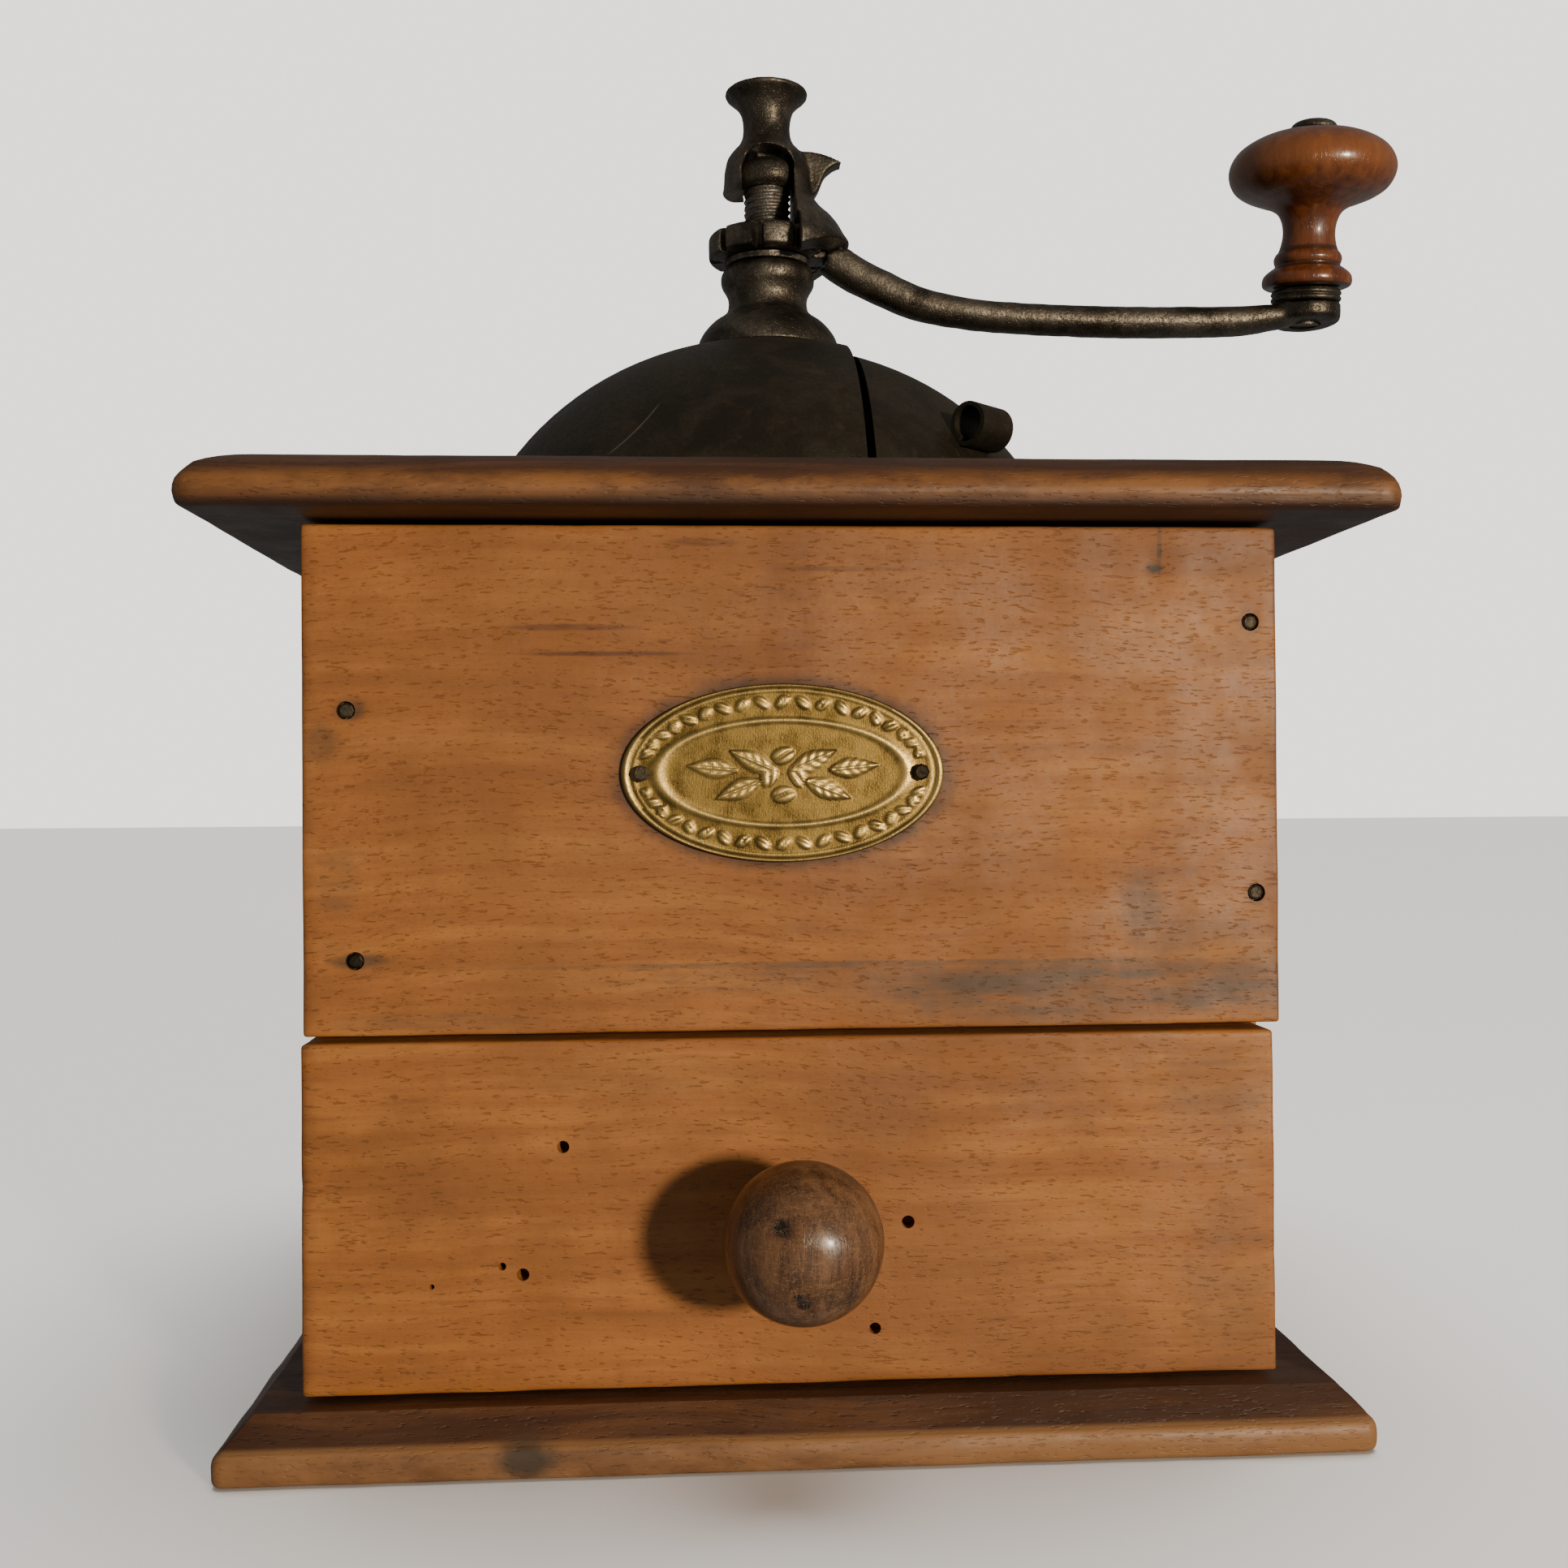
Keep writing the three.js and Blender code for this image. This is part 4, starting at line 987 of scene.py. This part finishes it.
carve(head, head_cavity)
carve(head, prism("arch", archway, -20, 20, "Y"))
carve(head, prism("below", [joint_line(0), joint_line(20), (20, 195), (0, 195)], -20, 20, "Y"))
cheek_foot = outline(
    [[-20, 222.2], [-9.3, 222.2]],
    [[-9.3, 222.2], [-8.9, 220.7], [-7.9, 219.7], [-6.4, 219.3]],
    [[-6.4, 219.3], [5.05, 219.3]],
    [[5.05, 219.3], [5.05, 190]],
    [[5.05, 190], [-20, 190]],
    steps=4,
)
left_part = prism("left_part", cheek_foot, -20, 20, "Y")
FOOT_SLOPE = 0.36  # the cheeks' feet are cut lower at the front than at the back
left_part.data.transform(Matrix(((1, 0, 0, 0), (0, 1, 0, 0), (0, FOOT_SLOPE, 1, 0), (0, 0, 0, 1))))
carve(head, left_part)
carve(head, worn_box("skirt_front", (-20, -20, 197), (5.6, 20, ring_room + 0.4), 0.1, 20, 0, 0))
cast(head, 0.34)
roughen(head, 0.12, 1.6)
finish(head, "spindle", "iron", worn_iron, "crank_head")

# ---- Crank arm ----
EYE = Vector((110.9, 0, 200.2))  # the middle of the arm's eye, on its top face
KNOB_LEAN = math.radians(9)
ARM = [
    (7.4, 213.6, 7.6), (12.7, 208.5, 7.4), (17.4, 205.2, 7.1), (23.6, 202.2, 6.9), (31.2, 199.1, 6.5),
    (42.0, 197.2, 6.1), (54.5, 196.4, 6.1), (70.5, 196.0, 6.2), (86.5, 196.15, 6.1), (97.0, 196.5, 5.9),
    (103.5, 197.3, 5.2), (109.0, 198.1, 4.4),
]


def arm_mesh():
    """The bent arm: an oval bar whose height changes along its line."""
    line = spline(ARM, 6)
    around = 28
    points = []
    for i, (x, z, height) in enumerate(line):
        ahead, behind = line[min(i + 1, len(line) - 1)], line[max(i - 1, 0)]
        way = Vector((ahead[0] - behind[0], 0, ahead[1] - behind[1])).normalized()
        up = Vector((-way.z, 0, way.x))
        for k in range(around):
            angle = 2 * math.pi * k / around
            side = 3.95 * math.copysign(abs(math.cos(angle)) ** 0.85, math.cos(angle))
            rise = height / 2 * math.copysign(abs(math.sin(angle)) ** 0.85, math.sin(angle))
            points.append(Vector((x, side, z)) + up * rise)
    return build("crank_arm_iron", points, skin(len(line), around))


def leaning(obj):
    """Leans an upright piece at the origin to the front, and sets it on the arm's eye."""
    obj.data.transform(Matrix.Translation(EYE * MM) @ Matrix.Rotation(KNOB_LEAN, 4, "X"))
    return obj


arm = arm_mesh()
eye_profile = outline(
    [[0, 195.95], [5.8, 195.95]],
    [[5.8, 195.95], [6.7, 196.4], [6.95, 197.6], [6.95, 201.35]],
    [[6.95, 201.35], [0, 201.35]],
)
eye = turned("eye", eye_profile, (EYE.x, 0), 48)
combine(arm, eye, "UNION")
carve(arm, prism("above", [joint_line(-5, -0.3), joint_line(30, -0.3), (30, 230), (-5, 230)], -20, 20, "Y"))
carve(arm, rod("ring_room", 12.2, (0, 0, 206), (0, 0, 230), 64))
carve(arm, leaning(worn_box("eye_top", (-10.5, -12, -0.02), (15, 12, 8), 0.1, 20, 0, 0)))
cast(arm, 0.42)
roughen(arm, 0.18, 3.0, 5.0)
carve(arm, leaning(rod("pin_hole", 3.2, (0, 0, -10), (0, 0, 10), 32)), sharp=50)
finish(arm, "spindle", "iron", worn_iron, "crank_arm")

# ---- Crank knob ----
KNOB_TOP = 33.9  # heights here are above the eye, along the leaning pin
pin_profile = outline(
    [[0, -4.2], [2.9, -4.2]],
    [[2.9, -4.2], [2.9, KNOB_TOP + 0.3]],
    [[2.9, KNOB_TOP + 0.3], [4.5, KNOB_TOP + 0.35]],
    [[4.5, KNOB_TOP + 0.35], [4.55, KNOB_TOP + 0.8], [3.9, KNOB_TOP + 1.6], [2.4, KNOB_TOP + 2.15],
     [0, KNOB_TOP + 2.3]],
)
pin = leaning(turned("knob_pin_steel", pin_profile, segments=48))
finish(pin, "spindle", "steel", worn_iron, "knob_pin")

ferrule_profile = outline(
    [[3.2, 0.32], [6.75, 0.32]],
    [[6.75, 0.32], [6.95, 0.6], [6.95, 1], [6.7, 1.35], [6.95, 1.75], [6.95, 2.1], [6.6, 2.65]],
    [[6.6, 2.65], [3.2, 2.65]],
)
ferrule = leaning(turned("knob_ferrule_steel", ferrule_profile, segments=64, closed=True))
finish(ferrule, "knob", "steel", worn_iron, "knob_ferrule")


def polished(name, dark, plain, light, worn=None, rough=(0.24, 0.42), coat=0.5):
    """Turned and polished hardwood with an upright grain."""
    g = Graph(name)
    figure = g.noise(0.5, 5, 0.6, g.stretch((1, 1, 0.12)), 0.3)
    pores = g.noise(4, 2, 0.5, g.stretch((1, 1, 0.1)))
    cloud = g.noise(0.14, 4, 0.6)
    colour = g.ramp(figure, (0.32, dark), (0.5, plain), (0.68, light))
    colour = g.mix(g.step(pores, 0.58, 0.72, 0, 0.55), colour, rgba(shade(dark, 0.5)))
    colour = g.mix(g.step(cloud, 0.5, 0.7, 0, 0.6), colour, rgba(shade(dark, 0.8)))
    if worn:
        colour = worn(g, colour)
    roughness = g.step(cloud, 0.35, 0.65, rough[0], rough[1])
    dips = g.times(g.step(pores, 0.55, 0.75), -0.6)
    height = g.plus(dips, g.times(figure, 0.4))
    normal = g.bump(height, 0.1, 0.5, g.bump(g.noise(0.4, 4, 0.6), 0.25, 0.35))
    return g.finish(colour, roughness, 0.0, normal, Coat_Weight=coat, Coat_Roughness=0.16)


def knob_grooves_and_highlight(g, colour):
    """Darker in the hollows of the knob's foot, and a light band round its widest part, partly rubbed wood
    and partly painted highlight.
    """
    height = g.plus(g.times(g.minus(g.z, EYE.z), math.cos(KNOB_LEAN)),
                    g.times(g.y, -math.sin(KNOB_LEAN)))
    for level, reach in ((7.4, 0.8), (10.6, 0.7), (3.1, 0.5)):
        near = g.step(g.apart(height, level), 0.2, reach, 0.75, 0)
        colour = g.mix(near, colour, (0.012, 0.005, 0.002, 1))
    # Painted highlight, partly rubbed wood, in a band round the knob's widest part.
    near = g.step(g.apart(height, 27.5), 0.5, 6, 0.5, 0)
    return g.mix(near, colour, (0.30, 0.105, 0.028, 1))


knob_profile = outline(
    [[3.2, 3], [8.0, 3]],
    [[8.0, 3], [8.7, 3.4], [8.97, 4.2], [8.8, 5.3], [8.2, 6.1], [7.3, 6.8], [6.7, 7.2]],
    [[6.7, 7.2], [6.5, 7.6], [6.7, 8.2], [6.78, 8.9], [6.5, 9.7], [6.0, 10.3]],
    [[6.0, 10.3], [5.6, 11.4], [5.25, 13.2], [5.25, 14.8], [5.6, 16.5], [6.5, 18.1], [8.2, 19.2],
     [10.6, 20.1], [13.2, 21.2], [15.3, 22.8], [16.4, 25.2], [16.2, 27.7], [14.7, 30.1], [12.0, 32.0],
     [8.6, 33.3], [5.0, KNOB_TOP]],
    [[5.0, KNOB_TOP], [3.2, KNOB_TOP]],
)
knob = leaning(turned("crank_knob_wood", knob_profile, segments=112, closed=True))
roughen(knob, 0.12, 6.0)
knob_wood = polished("crank knob wood", (0.085, 0.022, 0.006), (0.16, 0.045, 0.011), (0.23, 0.072, 0.018),
                     knob_grooves_and_highlight, rough=(0.26, 0.4), coat=0.4)
finish(knob, "knob", "knob_wood", knob_wood, "crank_knob")

# ---- Drawer ----
# Each hole is its x, its z and its radius.
WORMHOLES = [
    (-36.4, 47.0, 0.95), (-45.6, 29.2, 0.6), (-42.5, 27.9, 0.95), (-56.1, 26.4, 0.4), (16.0, 34.5, 1.0),
    (10.8, 18.4, 0.9),
]
drawer_dents = [(x, z, r * 1.7, 0.12) for x, z, r in WORMHOLES]
drawer_dents += [(-22.4, 23.4, 0.5, 0.25), (64, 52, 4, 0.2), (66, 45, 3, 0.15), (-60, 55, 3, 0.15)]
drawer_front = worn_box("drawer_front_wood", drawer_low, drawer_high, 0.7, 1.7, dents=drawer_dents)
knob_middle = middle("drawer_knob")
hole_start, hole_end = drawer_low.y - 2, drawer_low.y + 4.5
holes = [rod("worm", r, (x, hole_start, z), (x + 0.8, hole_end, z - 0.5), 14) for x, z, r in WORMHOLES]
screw_start = (knob_middle.x, hole_start, knob_middle.z)
holes.append(rod("screw_hole", 1.75, screw_start, (knob_middle.x, drawer_high.y + 2, knob_middle.z)))
carve(drawer_front, *holes, sharp=50)
finish(drawer_front, "drawer", "case_wood", drawer_wood, "drawer_front")

DRAWER_BOX = {
    "drawer_side_left": inner_wood,
    "drawer_side_right": inner_wood,
    "drawer_bottom": inner_wood,
    "drawer_back": drawer_back_wood,
}
for node, material in DRAWER_BOX.items():
    low, high = corners(node)
    finish(worn_box(f"{node}_wood", low, high, 0.5, 6.0), "drawer", "case_wood", material, node)


def knob_scars(g, colour):
    """Dark pits and pale scratches in the drawer knob."""
    knob_front = corners("drawer_knob")[0].y
    for dx, dz, size in ((-3.6, 4.6, 1.3), (-0.6, -5.8, 1.0), (-1.4, -4.6, 0.7)):
        pit = g.spot((knob_middle.x + dx, knob_middle.z + dz), (size, size * 0.8), 0.4, 0.9)
        colour = g.mix(pit, colour, (0.012, 0.007, 0.004, 1))
    web = g.noise(0.9, 3, 0.6, g.stretch((0.25, 1, 1.8)))
    cross = g.noise(0.8, 3, 0.6, g.stretch((1.8, 1, 0.3)))
    for lines in (web, cross):
        line = g.step(g.apart(lines, 0.5), 0.003, 0.014, 0.45, 0)
        near = g.step(g.y, knob_front + 14, knob_front + 5)
        colour = g.mix(g.times(line, near), colour, (0.36, 0.20, 0.09, 1))
    return colour


foot = corners("drawer_knob")[1].y
drawer_knob_profile = outline(
    [[0, 0], [6.9, 0]],
    [[6.9, 0], [7.2, 0.6], [7.0, 1.4], [6.0, 2.8], [5.2, 4.4], [5.1, 5.9], [5.9, 7.9], [7.8, 9.8],
     [9.8, 12.0], [11.2, 14.6], [11.58, 17], [11.2, 19.8], [10.1, 22.5], [8.2, 25.0], [5.6, 27.1],
     [2.8, 28.1], [0, 28.25]],
)
drawer_knob = turned("drawer_knob_wood", drawer_knob_profile, segments=96)
knob_seat = Matrix.Translation(Vector((knob_middle.x, foot, knob_middle.z)) * MM)
drawer_knob.data.transform(knob_seat @ Matrix.Rotation(math.pi / 2, 4, "X"))
roughen(drawer_knob, 0.15, 5.0)
for vertex in drawer_knob.data.vertices:
    for dx, dz, size in ((-3.6, 4.6, 1.4), (-0.6, -5.8, 1.1)):
        away = vertex.co / MM - knob_middle
        gone = math.hypot(away.x - dx, away.z - dz) / size
        if vertex.co.y / MM < foot - 15:
            vertex.co.y += 0.55 * math.exp(-gone * gone) * MM
drawer_knob_wood = polished("drawer knob wood", (0.045, 0.020, 0.009), (0.12, 0.055, 0.024),
                            (0.19, 0.095, 0.042), knob_scars, rough=(0.34, 0.5), coat=0.25)
finish(drawer_knob, "drawer", "knob_wood", drawer_knob_wood, "drawer_knob")

# ---- Pieces that keep their CAD shape ----
SLOT_LOOKS = {
    "iron": iron,
    "steel": steel,
    "brass": steel,
    "case_wood": side_wood,
    "board_wood": base_wood,
    "knob_wood": knob_wood,
}
slots = {row["node"]: row["material_slot"] for row in frame["record"]["subparts"]}
for name, node in frame["nodes"].items():
    if node.hide_render:
        continue
    nailed = "nail" in name or "plate_pin" in name
    node.data.materials.clear()
    node.data.materials.append(nail_iron if nailed else SLOT_LOOKS[slots[name]])

# ---- Studio ----
FLOOR_HALF = 6000
floor_corners = [(x * FLOOR_HALF, y * FLOOR_HALF, 0) for x, y in ((-1, -1), (1, -1), (1, 1), (-1, 1))]
floor = build("floor", floor_corners, [(0, 1, 2, 3)])
floor.data.materials.append(Graph("pale floor").finish((0.80, 0.79, 0.775, 1), 0.7))

FILL = 0.18  # the room's light on the object
BACKDROP = 1.9  # the pale wall as the camera sees it
world = bpy.data.worlds.new("studio")
bpy.context.scene.world = world
world.use_nodes = True
backdrop = world.node_tree.nodes["Background"]
backdrop.inputs["Color"].default_value = (1.0, 0.975, 0.94, 1)
seen = world.node_tree.nodes.new("ShaderNodeLightPath").outputs["Is Camera Ray"]
strength = world.node_tree.nodes.new("ShaderNodeMapRange")
world.node_tree.links.new(seen, strength.inputs["Value"])
strength.inputs["To Min"].default_value = FILL
strength.inputs["To Max"].default_value = BACKDROP
world.node_tree.links.new(strength.outputs["Result"], backdrop.inputs["Strength"])


def area_light(name, place, target, size, power, colour):
    data = bpy.data.lights.new(name, "AREA")
    data.shape = "RECTANGLE"
    data.size, data.size_y = size
    data.energy = power
    data.color = colour
    lamp = bpy.data.objects.new(name, data)
    lamp.location = place
    lamp.rotation_euler = (Vector(target) - Vector(place)).to_track_quat("-Z", "Y").to_euler()
    bpy.context.scene.collection.objects.link(lamp)


area_light("key", (0.62, -1.15, 0.22), (0.0, 0.0, 0.10), (0.12, 0.12), 15.5, (1.0, 0.85, 0.66))

# A wide soft light from above falls on the floor alone, so that the floor is pale and the object
# keeps the deep shadows of its one warm lamp.
floor_light = bpy.data.lights.new("floor light", "SUN")
floor_light.energy = 3.9
floor_light.angle = 0.9
floor_light.color = (1.0, 0.98, 0.95)
floor_lamp = bpy.data.objects.new("floor light", floor_light)
floor_lamp.rotation_euler = (-0.2, 0.1, 0)
bpy.context.scene.collection.objects.link(floor_lamp)
lit = bpy.data.collections.new("lit from above")
lit.objects.link(floor)
floor_lamp.light_linking.receiver_collection = lit
floor.visible_diffuse = False
floor.visible_glossy = False

# The camera stands close in front, a little left of the middle and at the height of the front panel.
EYE_POINT = (-17.76, -328.81, 99.53)
roll, pitch, yaw = -0.007, -0.0078, 0.0619  # in radians
camera_data = bpy.data.cameras.new("camera")
camera_data.sensor_width = 36
camera_data.lens = 37.56
camera_data.clip_start = 0.01
camera = bpy.data.objects.new("camera", camera_data)
to_camera = Matrix.Rotation(roll, 3, "Y") @ Matrix.Rotation(pitch, 3, "X") @ Matrix.Rotation(yaw, 3, "Z")
right, forward, up = to_camera
facing = Matrix((right, up, -forward)).transposed().to_4x4()
camera.matrix_world = Matrix.Translation(Vector(EYE_POINT) * MM) @ facing
bpy.context.scene.collection.objects.link(camera)
bpy.context.scene.camera = camera
